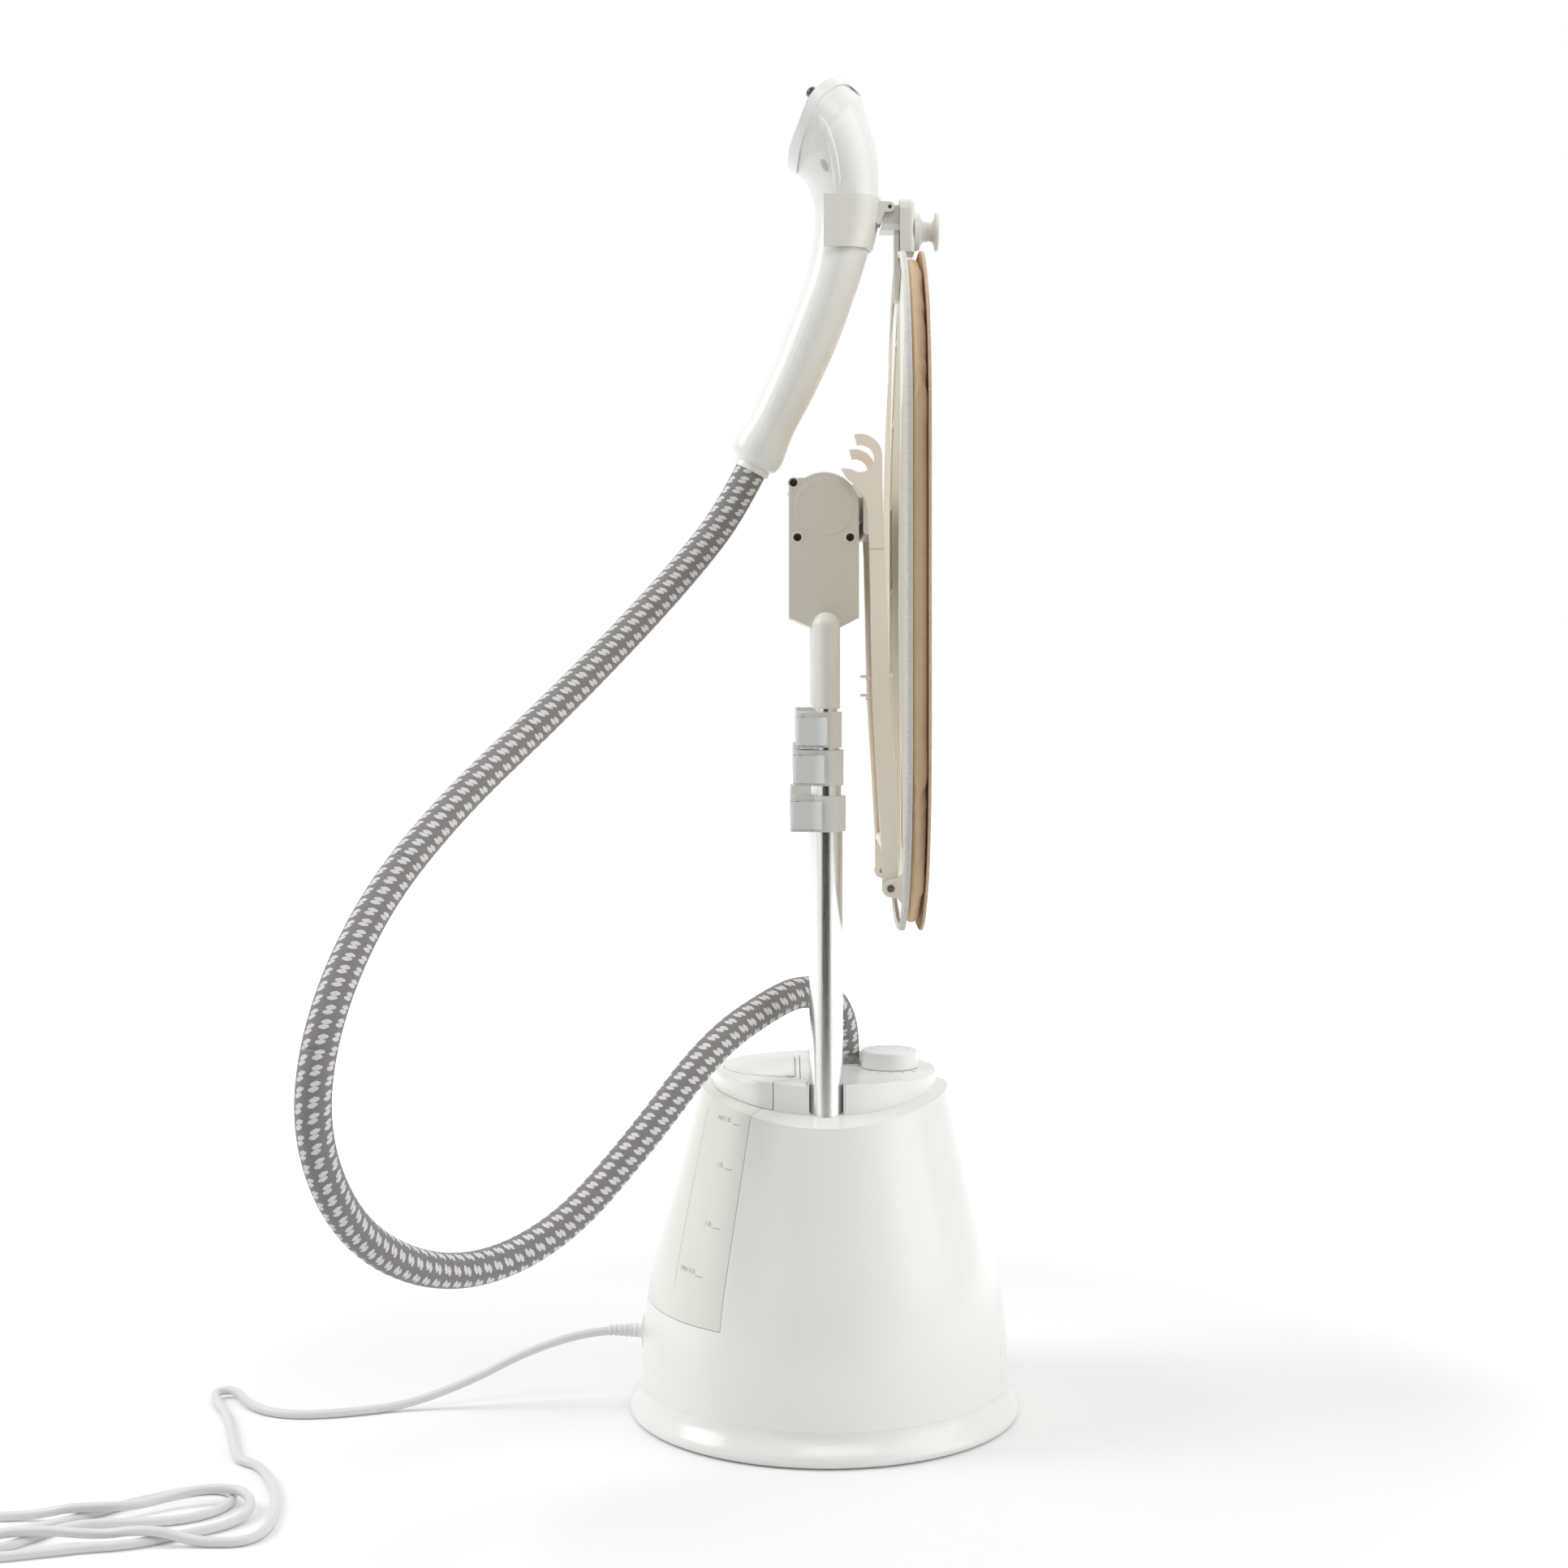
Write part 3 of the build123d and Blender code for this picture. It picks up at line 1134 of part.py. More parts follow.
# ------------------------------------------------------------------ cradle round the grip
cradle_first = 6
cradle_bore = max(station[2] for station in grip_stations[:11]) + 2 * slide_gap
cradle_straight_x = 14.0
with BuildPart() as cradle:
    add(grip_loft(slide_gap + cradle_wall, cradle_first, -1, cradle_bore + cradle_wall))
    with Locations((cradle_straight_x, 0, cradle_low_z)):
        Box(40, 2 * (cradle_bore + cradle_wall), cradle_high_z - cradle_low_z,
            align=(Align.MAX, Align.CENTER, Align.MIN))
    with Locations((cradle_open_x, 0, cradle_low_z)):
        Box(100, 100, cradle_high_z - cradle_low_z, align=(Align.MIN, Align.CENTER, Align.MIN),
            mode=Mode.INTERSECT)
    with BuildSketch(Plane.XZ):
        with BuildLine():
            Polyline((30, 926.8), (cradle_pin_x, cradle_pin_z + knuckle_radius + 0.2),
                     (cradle_pin_x + knuckle_radius + 0.2, cradle_pin_z),
                     (cradle_pin_x, cradle_pin_z - knuckle_radius - 0.2), (46.0, 917.6),
                     (42.8, 909.0), (30, 909.0), (30, 926.8))
        make_face()
        with Locations((cradle_pin_x, cradle_pin_z)):
            Circle(knuckle_radius + 0.2)
    extrude(amount=cheek_outer, both=True)
    with BuildSketch(Plane.XZ):
        with BuildLine():
            Polyline((43.0, 940), (43.0, 912), (41.6, 908), (41.6, 900), (60, 900), (60, 940), (43.0, 940))
        make_face()
    extrude(amount=knuckle_half, both=True, mode=Mode.SUBTRACT)
    add(grip_loft(slide_gap, cradle_first, -1, cradle_bore), mode=Mode.SUBTRACT)
    with Locations((cradle_straight_x, 0, cradle_low_z)):
        Box(80, 2 * cradle_bore, 100, align=(Align.MAX, Align.CENTER, Align.CENTER), mode=Mode.SUBTRACT)
    add(rod_y(cradle_pin_x, cradle_pin_z, cradle_pin_radius + run_gap, -cheek_outer, cheek_outer),
        mode=Mode.SUBTRACT)
save(cradle.part, "cradle")

# ================================================================== hose and mains lead
def cord_tube(route, diameter, name):
    """A round cord along a route whose corners are rounded as widely as the runs allow."""
    points = [Vector(*point) for point in route]
    radii = []
    for before, corner, after in zip(points, points[1:], points[2:]):
        turn = (corner - before).get_angle(after - corner)
        shorter = min((corner - before).length, (after - corner).length)
        radii.append(0.45 * shorter / tan(radians(turn) / 2))
    print(name, "radii", [round(radius, 1) for radius in radii])
    with BuildPart() as tube:
        with BuildLine() as line:
            path = FilletPolyline(*points, radius=radii)
        with BuildSketch(Plane(path @ 0, z_dir=path % 0)):
            Circle(diameter / 2)
        sweep()
    length = path.length
    print(name, "length", round(length, 1), "volume share",
          round(tube.part.volume / (length * pi * diameter**2 / 4), 4))
    save(tube.part, name)


cord_tube(hose_route, hose_diameter, "steam_hose")
cord_tube(mains_route, mains_diameter, "mains_cord")

with BuildPart() as cord_hank:
    with BuildSketch(Plane.XY.offset(0.1)):
        with BuildLine():
            Polyline((hank_right_x, hank_near_y[0]), (hank_right_x, hank_far_y[0]),
                     (hank_left_x, hank_far_y[1]), (hank_left_x, hank_near_y[1]),
                     (hank_right_x, hank_near_y[0]))
        make_face()
    extrude(amount=hank_height)
    upright = cord_hank.edges().filter_by(Axis.Z).sort_by(Axis.Y)
    fillet(upright[-1], 34)
    fillet(cord_hank.edges().filter_by(Axis.Z).sort_by(Axis.X)[:2], 24)
    fillet(cord_hank.faces().sort_by(Axis.Z)[-1].edges(), 4)
save(cord_hank.part, "cord_hank")

with BuildPart() as mains_plug:
    with BuildSketch(Plane.YZ.offset(hank_left_x - 0.1)):
        with Locations((plug_y, plug_height / 2 + 0.1)):
            Circle(mains_diameter / 2 + 1.2)
    extrude(amount=-12, taper=-6)
    with BuildSketch(Plane.YZ.offset(hank_left_x - 11)):
        with Locations((plug_y, plug_height / 2 + 0.1)):
            RectangleRounded(30, plug_height, 6)
    extrude(amount=-34)
    fillet(mains_plug.faces().sort_by(Axis.X)[0].edges(), 2)
    with BuildSketch(Plane.YZ.offset(hank_left_x - 44)):
        with Locations((plug_y - 9.5, plug_height / 2), (plug_y + 9.5, plug_height / 2)):
            Circle(2.0)
    extrude(amount=-20)
save(mains_plug.part, "mains_plug")
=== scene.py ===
# %% [markdown]
# # Dressing a garment steamer
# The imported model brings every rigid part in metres, at its place. This script gives those
# parts their finishes and makes what a solid modeller makes badly: the braided hose, the
# mains lead and its loose hank, the ironing board's pad, cloth and elastic hem, and the
# small trim and marks.

# %% The frame
from math import ceil, cos, pi, radians, sin

import bmesh
import bpy
from mathutils import Matrix, Vector, noise


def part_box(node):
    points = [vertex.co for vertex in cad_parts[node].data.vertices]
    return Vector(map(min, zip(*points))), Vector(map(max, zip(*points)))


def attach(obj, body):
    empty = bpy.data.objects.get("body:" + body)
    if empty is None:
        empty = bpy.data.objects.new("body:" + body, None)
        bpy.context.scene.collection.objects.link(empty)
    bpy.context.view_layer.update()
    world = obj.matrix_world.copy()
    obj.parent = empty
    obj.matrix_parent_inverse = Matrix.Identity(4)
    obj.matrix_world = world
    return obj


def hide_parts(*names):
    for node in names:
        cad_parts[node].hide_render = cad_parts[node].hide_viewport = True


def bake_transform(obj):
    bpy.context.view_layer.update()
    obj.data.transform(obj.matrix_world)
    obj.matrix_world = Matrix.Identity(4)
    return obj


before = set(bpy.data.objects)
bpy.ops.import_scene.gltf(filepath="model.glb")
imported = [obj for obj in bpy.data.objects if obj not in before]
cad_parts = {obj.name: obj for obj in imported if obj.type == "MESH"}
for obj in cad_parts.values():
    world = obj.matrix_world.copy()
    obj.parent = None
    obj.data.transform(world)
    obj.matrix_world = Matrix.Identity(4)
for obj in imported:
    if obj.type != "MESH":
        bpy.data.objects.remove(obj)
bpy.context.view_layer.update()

scene = bpy.context.scene

# %% [markdown]
# ## Camera
# A product lens, about 55 mm on a full frame, stands 1.85 m away on the near side at the
# height of the clamps. It looks level, and a small shift brings the floor into the frame,
# so that upright things stay upright.

# %% Camera
film_width = 36.0             # millimetres
image_side, focal_length, rise = 1932, 2950, 166      # all three in the same units
camera = bpy.data.objects.new("camera", bpy.data.cameras.new("camera"))
camera.data.sensor_width = film_width
camera.data.lens = film_width * focal_length / image_side
camera.data.shift_y = -rise / image_side
camera.data.clip_end = 50
camera.location = (-0.0312, -1.845, 0.5826)
camera.rotation_euler = (radians(90), 0, 0)
scene.collection.objects.link(camera)
scene.camera = camera
print("camera lens", round(camera.data.lens, 1), "mm")

# %% [markdown]
# ## Lines that cords follow
# A hose or a lead is one smooth line under its own weight. A NURBS spline of order 3 draws
# such a line from a few points that pull it, and it never wiggles between them. The bare
# spline is also read back as points, for tubes that need their own surface.

# %% NURBS line
millimetre = 0.001


def nurbs_line(name, points, thickness=0.0):
    """A NURBS curve object pulled by points in millimetres, as thick as given, in metres."""
    data = bpy.data.curves.new(name, "CURVE")
    data.dimensions = "3D"
    data.resolution_u = 16
    # The thickness is in the points' radius: Blender counts a radius of 1 as a metre of reach.
    data.bevel_depth = 1.0 if thickness else 0.0
    data.bevel_resolution = 5
    data.use_fill_caps = thickness > 0
    spline = data.splines.new("NURBS")
    spline.points.add(len(points) - 1)
    for knot, point in zip(spline.points, points):
        knot.co = (*[value * millimetre for value in point], 1)
        knot.radius = thickness / 2
    spline.order_u = 3
    spline.use_endpoint_u = True
    curve = bpy.data.objects.new(name, data)
    scene.collection.objects.link(curve)
    return curve


# %% Reading a line back
def line_points(curve):
    """The points that Blender draws a bare curve through."""
    mesh = bpy.data.meshes.new_from_object(curve)
    points = [vertex.co.copy() for vertex in mesh.vertices]
    bpy.data.meshes.remove(mesh)
    return points


def even_points(points, spacing):
    """The same line with its points about spacing apart, and its whole length."""
    lengths = [0.0]
    for a, b in zip(points, points[1:]):
        lengths.append(lengths[-1] + (b - a).length)
    count = ceil(lengths[-1] / spacing)
    spaced, i = [], 0
    for step in range(count + 1):
        wanted = lengths[-1] * step / count
        while i < len(points) - 2 and lengths[i + 1] < wanted:
            i += 1
        share = (wanted - lengths[i]) / max(lengths[i + 1] - lengths[i], 1e-9)
        spaced.append(points[i].lerp(points[i + 1], share))
    return spaced, lengths[-1]


corner = [Vector((0, 0, 0)), Vector((1, 0, 0)), Vector((1, 1, 0))]
print("a corner of", even_points(corner, 0.1)[1], "m has", len(even_points(corner, 0.1)[0]), "points")

# %% [markdown]
# ## Sweeping an outline
# Braid, hem and edge binding are all one outline carried along a line. Each new ring is
# extruded from the last and moved by the turn between two frames. The frames turn as little
# as they can, so a pattern runs along the piece without twisting. Two numbers ride on each
# vertex, how far round and how far along it is, and become the piece's UV map.

# %% Frames along a line
def turning_frames(points):
    """One matrix per point: Z along the line, X and Y carried on with the least turn."""
    frames, side = [], Vector((0, 1, 0))
    last = len(points) - 1
    for i, point in enumerate(points):
        along = (points[min(i + 1, last)] - points[max(i - 1, 0)]).normalized()
        side = (side - along * side.dot(along)).normalized()
        other = along.cross(side)
        frames.append(Matrix(((side.x, other.x, along.x, point.x), (side.y, other.y, along.y, point.y),
                              (side.z, other.z, along.z, point.z), (0, 0, 0, 1))))
    return frames


print("frames on the corner:", len(turning_frames(corner)))


# %% New piece
def new_piece(name, bm, smooth=True):
    """Turns a bmesh into an object at the origin, shaded smooth or flat, and frees the bmesh."""
    for face in bm.faces:
        face.smooth = smooth
    mesh = bpy.data.meshes.new(name)
    bm.to_mesh(mesh)
    bm.free()
    piece = bpy.data.objects.new(name, mesh)
    scene.collection.objects.link(piece)
    return piece


# %% Sweep
def sweep(name, outline, frames, spacing):
    """Mesh object that carries an outline of (x, y) points in metres through the frames."""
    bm = bmesh.new()
    around = bm.verts.layers.float.new("around")
    along = bm.verts.layers.float.new("along")
    first = [bm.verts.new(frames[0] @ Vector((x, y, 0))) for x, y in outline]
    for i, vert in enumerate(first):
        vert[around] = i / len(outline)
    ring = [bm.edges.new(pair) for pair in zip(first, first[1:] + first[:1])]
    first_ring = list(ring)
    for step, (before, now) in enumerate(zip(frames, frames[1:]), 1):
        made = bmesh.ops.extrude_edge_only(bm, edges=ring)["geom"]
        verts = [item for item in made if isinstance(item, bmesh.types.BMVert)]
        fresh = set(verts)
        ring = [item for item in made if isinstance(item, bmesh.types.BMEdge)
                and item.verts[0] in fresh and item.verts[1] in fresh]
        bmesh.ops.transform(bm, matrix=now @ before.inverted(), verts=verts)
        for vert in verts:
            vert[along] = step * spacing
    bmesh.ops.holes_fill(bm, edges=first_ring + ring, sides=0)
    bmesh.ops.recalc_face_normals(bm, faces=bm.faces)
    uv = bm.loops.layers.uv.new("UVMap")
    for face in bm.faces:
        spots = [vert[around] for vert in face.verts]
        wraps = max(spots) - min(spots) > 0.5
        for loop in face.loops:
            turn = loop.vert[around] + (1.0 if wraps and loop.vert[around] < 0.5 else 0.0)
            loop[uv].uv = (turn, loop.vert[along])
    return new_piece(name, bm)


def circle(radius, count):
    """Points of a circle."""
    return [(radius * cos(2 * pi * i / count), radius * sin(2 * pi * i / count)) for i in range(count)]


print("a circle to sweep, in 4 points:", [(round(x, 3), round(y, 3)) for x, y in circle(0.01, 4)])

# %% [markdown]
# ## The steam hose
# Hot steam climbs through a silicone tube in a braided polyester sleeve, 24 mm across. It
# rises from the socket, droops to the side and climbs to the handset. Five lengths share one
# line and one braid.

# %% Hose line
hose_route = (
    (15.4, 15, 262.5), (15.4, 15, 280), (12.5, 12, 298), (4, 5, 313), (-13, -8, 321),
    (-34, -27, 318), (-84, -82, 292), (-134, -115, 228), (-192, -150, 166), (-256, -203, 150),
    (-310, -272, 190), (-334, -318, 264), (-330, -310, 338), (-306, -250, 412),
    (-262, -182, 474), (-205, -118, 532), (-148, -60, 594), (-101, -14, 650),
    (-72.1, 0, 689.55), (-54.9, 0, 723.95),
)
hose_diameter = 0.024
ring_spacing = 0.002
hose_curve = nurbs_line("hose_line", hose_route)
hose_points, hose_length = even_points(line_points(hose_curve), ring_spacing)
bpy.data.objects.remove(hose_curve)
hose_frames = turning_frames(hose_points)
print("hose", round(hose_length, 3), "m in", len(hose_points), "rings")

# %% [markdown]
# ## Hose in lengths
# A real hose bends wherever it is pushed. So the line is cut where one joint's reach ends and
# the next begins: one long length from the base to the mast's head, and four short ones up to
# the handset.

# %% Hose lengths
short_length = 0.147
short_rings = ceil(short_length / ring_spacing)
last_ring = len(hose_points) - 1
cuts = [0] + [last_ring - short_rings * count for count in (4, 3, 2, 1, 0)]
hose_pieces = []
for number, (low, high) in enumerate(zip(cuts, cuts[1:])):
    piece = sweep(f"hose_length_{number + 1}", circle(hose_diameter / 2, 32),
                  hose_frames[low:high + 1], hose_length / last_ring)
    for loop in piece.data.uv_layers[0].data:
        loop.uv.y += low * hose_length / last_ring
    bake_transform(piece)
    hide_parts("steam_hose")
    hose_pieces.append(piece)
    print(piece.name, round((high - low) * hose_length / last_ring, 3), "m")

# %% [markdown]
# ## The mains lead
# A 6.5 mm round lead leaves the back of the base through a gland, sags to the floor and ends
# in a loose hank of five strands, with its plug past the hank's end. The turns differ in
# size and cross, each crossing as a low hump over the strand below.

# %% Lead line
floor = 3.35          # middle of a strand that lies on the floor
over = 10.3           # middle of a strand that crosses another
lead_route = (
    (-152, 0, 58), (-178, 0, 58), (-228, -2, 43), (-272, -4, 20), (-322, -12, floor),
    (-366, -29, floor), (-400, -34, floor), (-424, -26, floor), (-441, -10, floor + 1),
    (-451.5, 7, floor + 2), (-455.5, 15, floor + 2), (-462.5, 20.5, floor + 2),
    (-471, 17.8, floor + 2), (-472, 8, floor + 2), (-465, -9, floor + 1), (-452, -34, floor),
    (-438.5, -78, floor), (-428, -114, floor), (-421, -134, floor), (-408, -142, floor),
    (-397, -158, floor), (-384, -188, floor), (-375, -224, floor), (-371, -262, floor),
    (-375, -282, floor), (-384, -291, floor), (-400, -292, floor),
)
# The near strand goes left over two others, turns, and comes back as the far strand.
hank_first = (
    (-418, -291, floor + 1), (-434, -291.5, over), (-456, -290, over), (-472, -286, 6.5),
    (-492, -285, 6.5), (-514, -289, over), (-538, -294, over), (-552, -295, 6.5),
    (-568, -296, floor), (-592, -298, floor), (-622, -298, floor), (-641, -295, floor),
    (-652, -286, floor), (-654, -271, floor), (-645, -260, floor), (-628, -255, floor),
    (-600, -251, floor), (-572, -247, floor), (-545, -245, floor), (-525, -245, floor + 2),
    (-508, -249, over), (-486, -246, over), (-468, -236, 7), (-450, -222, 7.5),
)
# It turns at the right end, dives under the near strand and runs left again.
hank_second = (
    (-430, -213, over), (-406, -212, over), (-395, -219, 8.5), (-389.5, -234, 6),
    (-392, -250, floor + 0.5), (-402, -263, floor), (-416, -273, floor), (-430, -281, floor),
    (-445, -291, floor), (-460, -297.5, floor), (-480, -301, floor), (-504, -309, floor),
    (-532, -317.5, floor), (-562, -324, floor), (-592, -329, floor), (-612, -331, 5.5),
    (-629, -328, over), (-639.5, -317, over), (-640.5, -301, over), (-632, -289, over),
    (-616, -284, over), (-598, -281, 6), (-575, -279, floor), (-548, -277, floor),
)
# The inner loop, and the last run to the plug.
hank_third = (
    (-526, -267, floor), (-511, -256, floor), (-497, -243, floor), (-484, -229, floor),
    (-470, -217, floor), (-452, -204, floor), (-436, -195.5, floor), (-421, -193, floor),
    (-409, -201, floor), (-406, -218, floor), (-413, -237, floor), (-428, -249, floor),
    (-445, -255, floor), (-462, -257, floor), (-480, -258, floor), (-496, -260.5, floor),
    (-509, -269, floor), (-520, -282, floor), (-530, -297, floor), (-546, -306, floor),
    (-570, -309, floor), (-600, -309.5, floor), (-625, -308, floor), (-642, -306, floor),
    (-650, -305, floor + 1), (-658, -304, 9), (-664, -304, 10.1), (-672, -304, 10.1),
)
lead_diameter = 0.0065
lead_knots = lead_route + hank_first + hank_second + hank_third
lead_bare = nurbs_line("lead_bare", lead_knots)
lead_length = even_points(line_points(lead_bare), 0.004)[1]
bpy.data.objects.remove(lead_bare)
mains_lead = nurbs_line("mains_lead", lead_knots, lead_diameter)
print("lead", round(lead_length, 3), "m")

# %% [markdown]
# ## Strain relief
# A ribbed rubber sleeve keeps the lead from kinking where it leaves the base. It could be a
# cone with grooves cut in. A circle swept straight out, with its size changed at each ring,
# gives taper and ribs together. The lead rides on the base that it comes out of.

# %% Strain relief and the lead's place
relief_start, relief_z, relief_radius = -0.1400, 0.058, 0.0055
relief_step, relief_rings, thinning = 0.001, 27, 0.000068


def relief_ring(i):
    """Place and size of ring i: the sleeve thins outwards and has a rib every four rings."""
    radius = relief_radius - thinning * i + (0.00028 if i % 4 in (0, 1) else -0.0003)
    return (Matrix.Translation((relief_start - relief_step * i, 0, relief_z))
            @ Matrix.Rotation(-pi / 2, 4, "Y") @ Matrix.Diagonal((radius, radius, 1, 1)))


strain_relief = sweep("strain_relief", circle(1.0, 32),
                      [relief_ring(i) for i in range(relief_rings)], relief_step)
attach(strain_relief, "base")
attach(mains_lead, "base")
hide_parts("mains_cord", "cord_hank")
print("strain relief", round(relief_step * (relief_rings - 1), 3), "m long")

# %% [markdown]
# ## Colours and shader trees
# Hex codes are what a colour picker shows, in sRGB. Shaders work with linear light, so one
# function turns the first into the second. Another adds a node with its settings and links.

# %% Colours
def hex_colour(code):
    """A hex code such as #C0FFEE as linear red, green, blue and alpha."""
    parts = [int(code[i:i + 2], 16) / 255 for i in (1, 3, 5)]
    return [c / 12.92 if c <= 0.04045 else ((c + 0.055) / 1.055) ** 2.4 for c in parts] + [1.0]


print("mid grey #808080 is", round(hex_colour("#808080")[0], 3), "in linear light")


# %% Nodes
def add(tree, kind, *inputs, named=None, **settings):
    """Adds a node, fills its live sockets in order and others by name, and returns its output."""
    node = tree.nodes.new("ShaderNode" + kind)
    for setting, value in settings.items():
        setattr(node, setting, value)
    live = [socket for socket in node.inputs if socket.enabled]
    pairs = list(zip(live, inputs)) + [(node.inputs[key], value) for key, value in (named or {}).items()]
    for socket, value in pairs:
        if isinstance(value, bpy.types.NodeSocket):
            tree.links.new(value, socket)
        elif value is not None:
            socket.default_value = value
    return next((socket for socket in node.outputs if socket.enabled), None)


def new_finish(name):
    """An empty material and its node tree."""
    material = bpy.data.materials.new(name)
    material.use_nodes = True
    material.node_tree.nodes.clear()
    return material, material.node_tree


# %% Dressing
def dress(material, *nodes):
    """Gives CAD nodes or new pieces a finish."""
    for name in nodes:
        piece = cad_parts[name] if isinstance(name, str) else name
        if not piece.material_slots:
            piece.data.materials.append(material)
        for holder in piece.material_slots:
            holder.material = material


print("CAD nodes to dress:", len(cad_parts))

# %% [markdown]
# ## Moulded plastics
# ABS comes out of a polished mould glossy, with a very faint ripple, and out of a spark-eroded
# mould with a fine even grain that looks satin. Real mouldings have small rounded edges, which
# the bevel node shades. A slow drift in colour and roughness keeps big faces from looking flat.

# %% Plastic
def moulded_plastic(name, light, dark, roughness, grain, depth, edge=0.0005, **extra):
    """Injection-moulded plastic. Grain is the surface's wavelength and depth its height, in mm."""
    material, tree = new_finish(name)
    spot = add(tree, "TexCoord").node.outputs["Object"]
    drift = add(tree, "TexNoise", named={"Vector": spot, "Scale": 9.0, "Detail": 2.0})
    tone = add(tree, "Mix", drift, hex_colour(light), hex_colour(dark), data_type="RGBA")
    fine = add(tree, "TexNoise", named={"Vector": spot, "Scale": 1000 / grain, "Detail": 1.0})
    rough = add(tree, "MapRange", drift, 0.3, 0.7, roughness * 0.85, roughness * 1.15)
    rounded = add(tree, "Bevel", edge, samples=4)
    skin = add(tree, "Bump", named={"Height": fine, "Distance": depth * millimetre, "Strength": 1.0,
                                    "Normal": rounded})
    others = {key.replace("_", " "): value for key, value in extra.items()}
    body = add(tree, "BsdfPrincipled", named={"Base Color": tone, "Roughness": rough, "IOR": 1.53,
                                              "Normal": skin, **others})
    add(tree, "OutputMaterial", body)
    return material


# %% Plastic finishes
# ABS from a polished mould: clear highlights, cool white.
gloss_white = moulded_plastic("white_gloss_abs", "#F5F5F2", "#F0F1ED", 0.24, 2.4, 0.003)
# The same ABS with a finer, slightly deeper grain, for the ring and plate round the foot.
satin_white = moulded_plastic("white_satin_abs", "#F3F3F0", "#EDEEEA", 0.2, 1.2, 0.004)
# Polypropylene with a warm grey pigment and an eroded grain: dull, soft edges.
head_grey = moulded_plastic("warm_grey_pp", "#DEDACF", "#D6D2C7", 0.42, 0.5, 0.02)
# Cream polypropylene, and a warmer copy of it for the board's frame and its arms, made paler
# as painted light that lifts them out of the shade they stand in.
cream_white = moulded_plastic("cream_pp", "#E9E8E1", "#E2E1D9", 0.3, 0.5, 0.012)
cream_with_painted_light = moulded_plastic("warm_cream_pp_with_painted_light", "#FAF5EA", "#F5EFE2", 0.38, 0.5, 0.014)
# Acetal levers: slightly waxy, light grey.
lever_grey = moulded_plastic("grey_acetal", "#E6E6E3", "#DEDEDB", 0.34, 0.5, 0.014)
# Soft black and grey mouldings inside and under the base.
soft_grey = moulded_plastic("grey_rubber", "#77797A", "#6B6D6E", 0.7, 0.4, 0.03)
black_abs = moulded_plastic("black_abs", "#2B2B2D", "#242426", 0.45, 0.5, 0.02)
dress(gloss_white, "base_shell", "control_deck", "tank_cover", "fill_lid", "dial", "dial_button",
      "handset_front_shell", "handset_rear_shell", "steam_rim", "cord_gland", "outlet_socket",
      "hose_cuff")
dress(satin_white, "bumper_ring", "base_plate")
dress(head_grey, "head_housing", "head_covers", "tilt_bracket")
dress(cream_white, "pole_sleeves", "holder_post", "hanger_peg", "cradle", "tilt_axle")
# The frame and arms take the paler cream: its warmth is their own, its extra lightness is painted light.
dress(cream_with_painted_light, "board_frame", "hook_brackets", "arm_bars")
dress(lever_grey, "lower_clamps", "middle_clamps", "top_clamps",
      *[f"{stage}_lever_{side}" for stage in ("lower", "middle", "top") for side in ("near", "far")])
dress(soft_grey, "rubber_feet", "tank_valve", "valve_socket", "steam_pipe")
dress(black_abs, "pump", "control_board")
plastics = (gloss_white, satin_white, head_grey, cream_white, cream_with_painted_light, lever_grey, soft_grey,
            black_abs)
print("plastics:", len(plastics))

# %% [markdown]
# ## Clear plastics
# The tank is frosted styrene resin: light goes through and scatters, so the level shows and
# nothing behind it is sharp. The ring round the hose is the same resin, polished.

# %% Clear plastic
frosted_resin = moulded_plastic("frosted_san", "#F4F5EE", "#EFF1E8", 0.34, 0.8, 0.008,
                                Transmission_Weight=0.12)
clear_resin = moulded_plastic("clear_san", "#F2F5F5", "#ECF0F0", 0.07, 2.0, 0.004,
                              Transmission_Weight=0.85)
dress(frosted_resin, "water_tank")
dress(clear_resin, "hose_nut")
print("clear plastics:", frosted_resin.name, clear_resin.name)

# %% [markdown]
# ## Metals
# The poles are extruded aluminium tube, brushed lengthwise and anodised: fine lines run up
# the tube and smear reflections sideways. Pins and screws are turned steel, the boiler is
# cast, and the steam plate is brushed.

# %% Metal
def drawn_metal(name, light, dark, roughness, stretch, line, depth):
    """Metal with lines drawn along one axis: stretch scales X, Y and Z, line is their pitch in mm."""
    material, tree = new_finish(name)
    spot = add(tree, "TexCoord").node.outputs["Object"]
    along = add(tree, "Mapping", spot, named={"Scale": stretch})
    lines = add(tree, "TexNoise", named={"Vector": along, "Scale": 1000 / line, "Detail": 2.0})
    tone = add(tree, "Mix", lines, hex_colour(light), hex_colour(dark), data_type="RGBA")
    rough = add(tree, "MapRange", lines, 0.3, 0.7, roughness * 0.8, roughness * 1.2)
    rounded = add(tree, "Bevel", 0.0003, samples=4)
    skin = add(tree, "Bump", named={"Height": lines, "Distance": depth * millimetre, "Strength": 1.0,
                                    "Normal": rounded})
    body = add(tree, "BsdfPrincipled", named={"Base Color": tone, "Metallic": 1.0, "Roughness": rough,
                                              "Normal": skin})
    add(tree, "OutputMaterial", body)
    return material


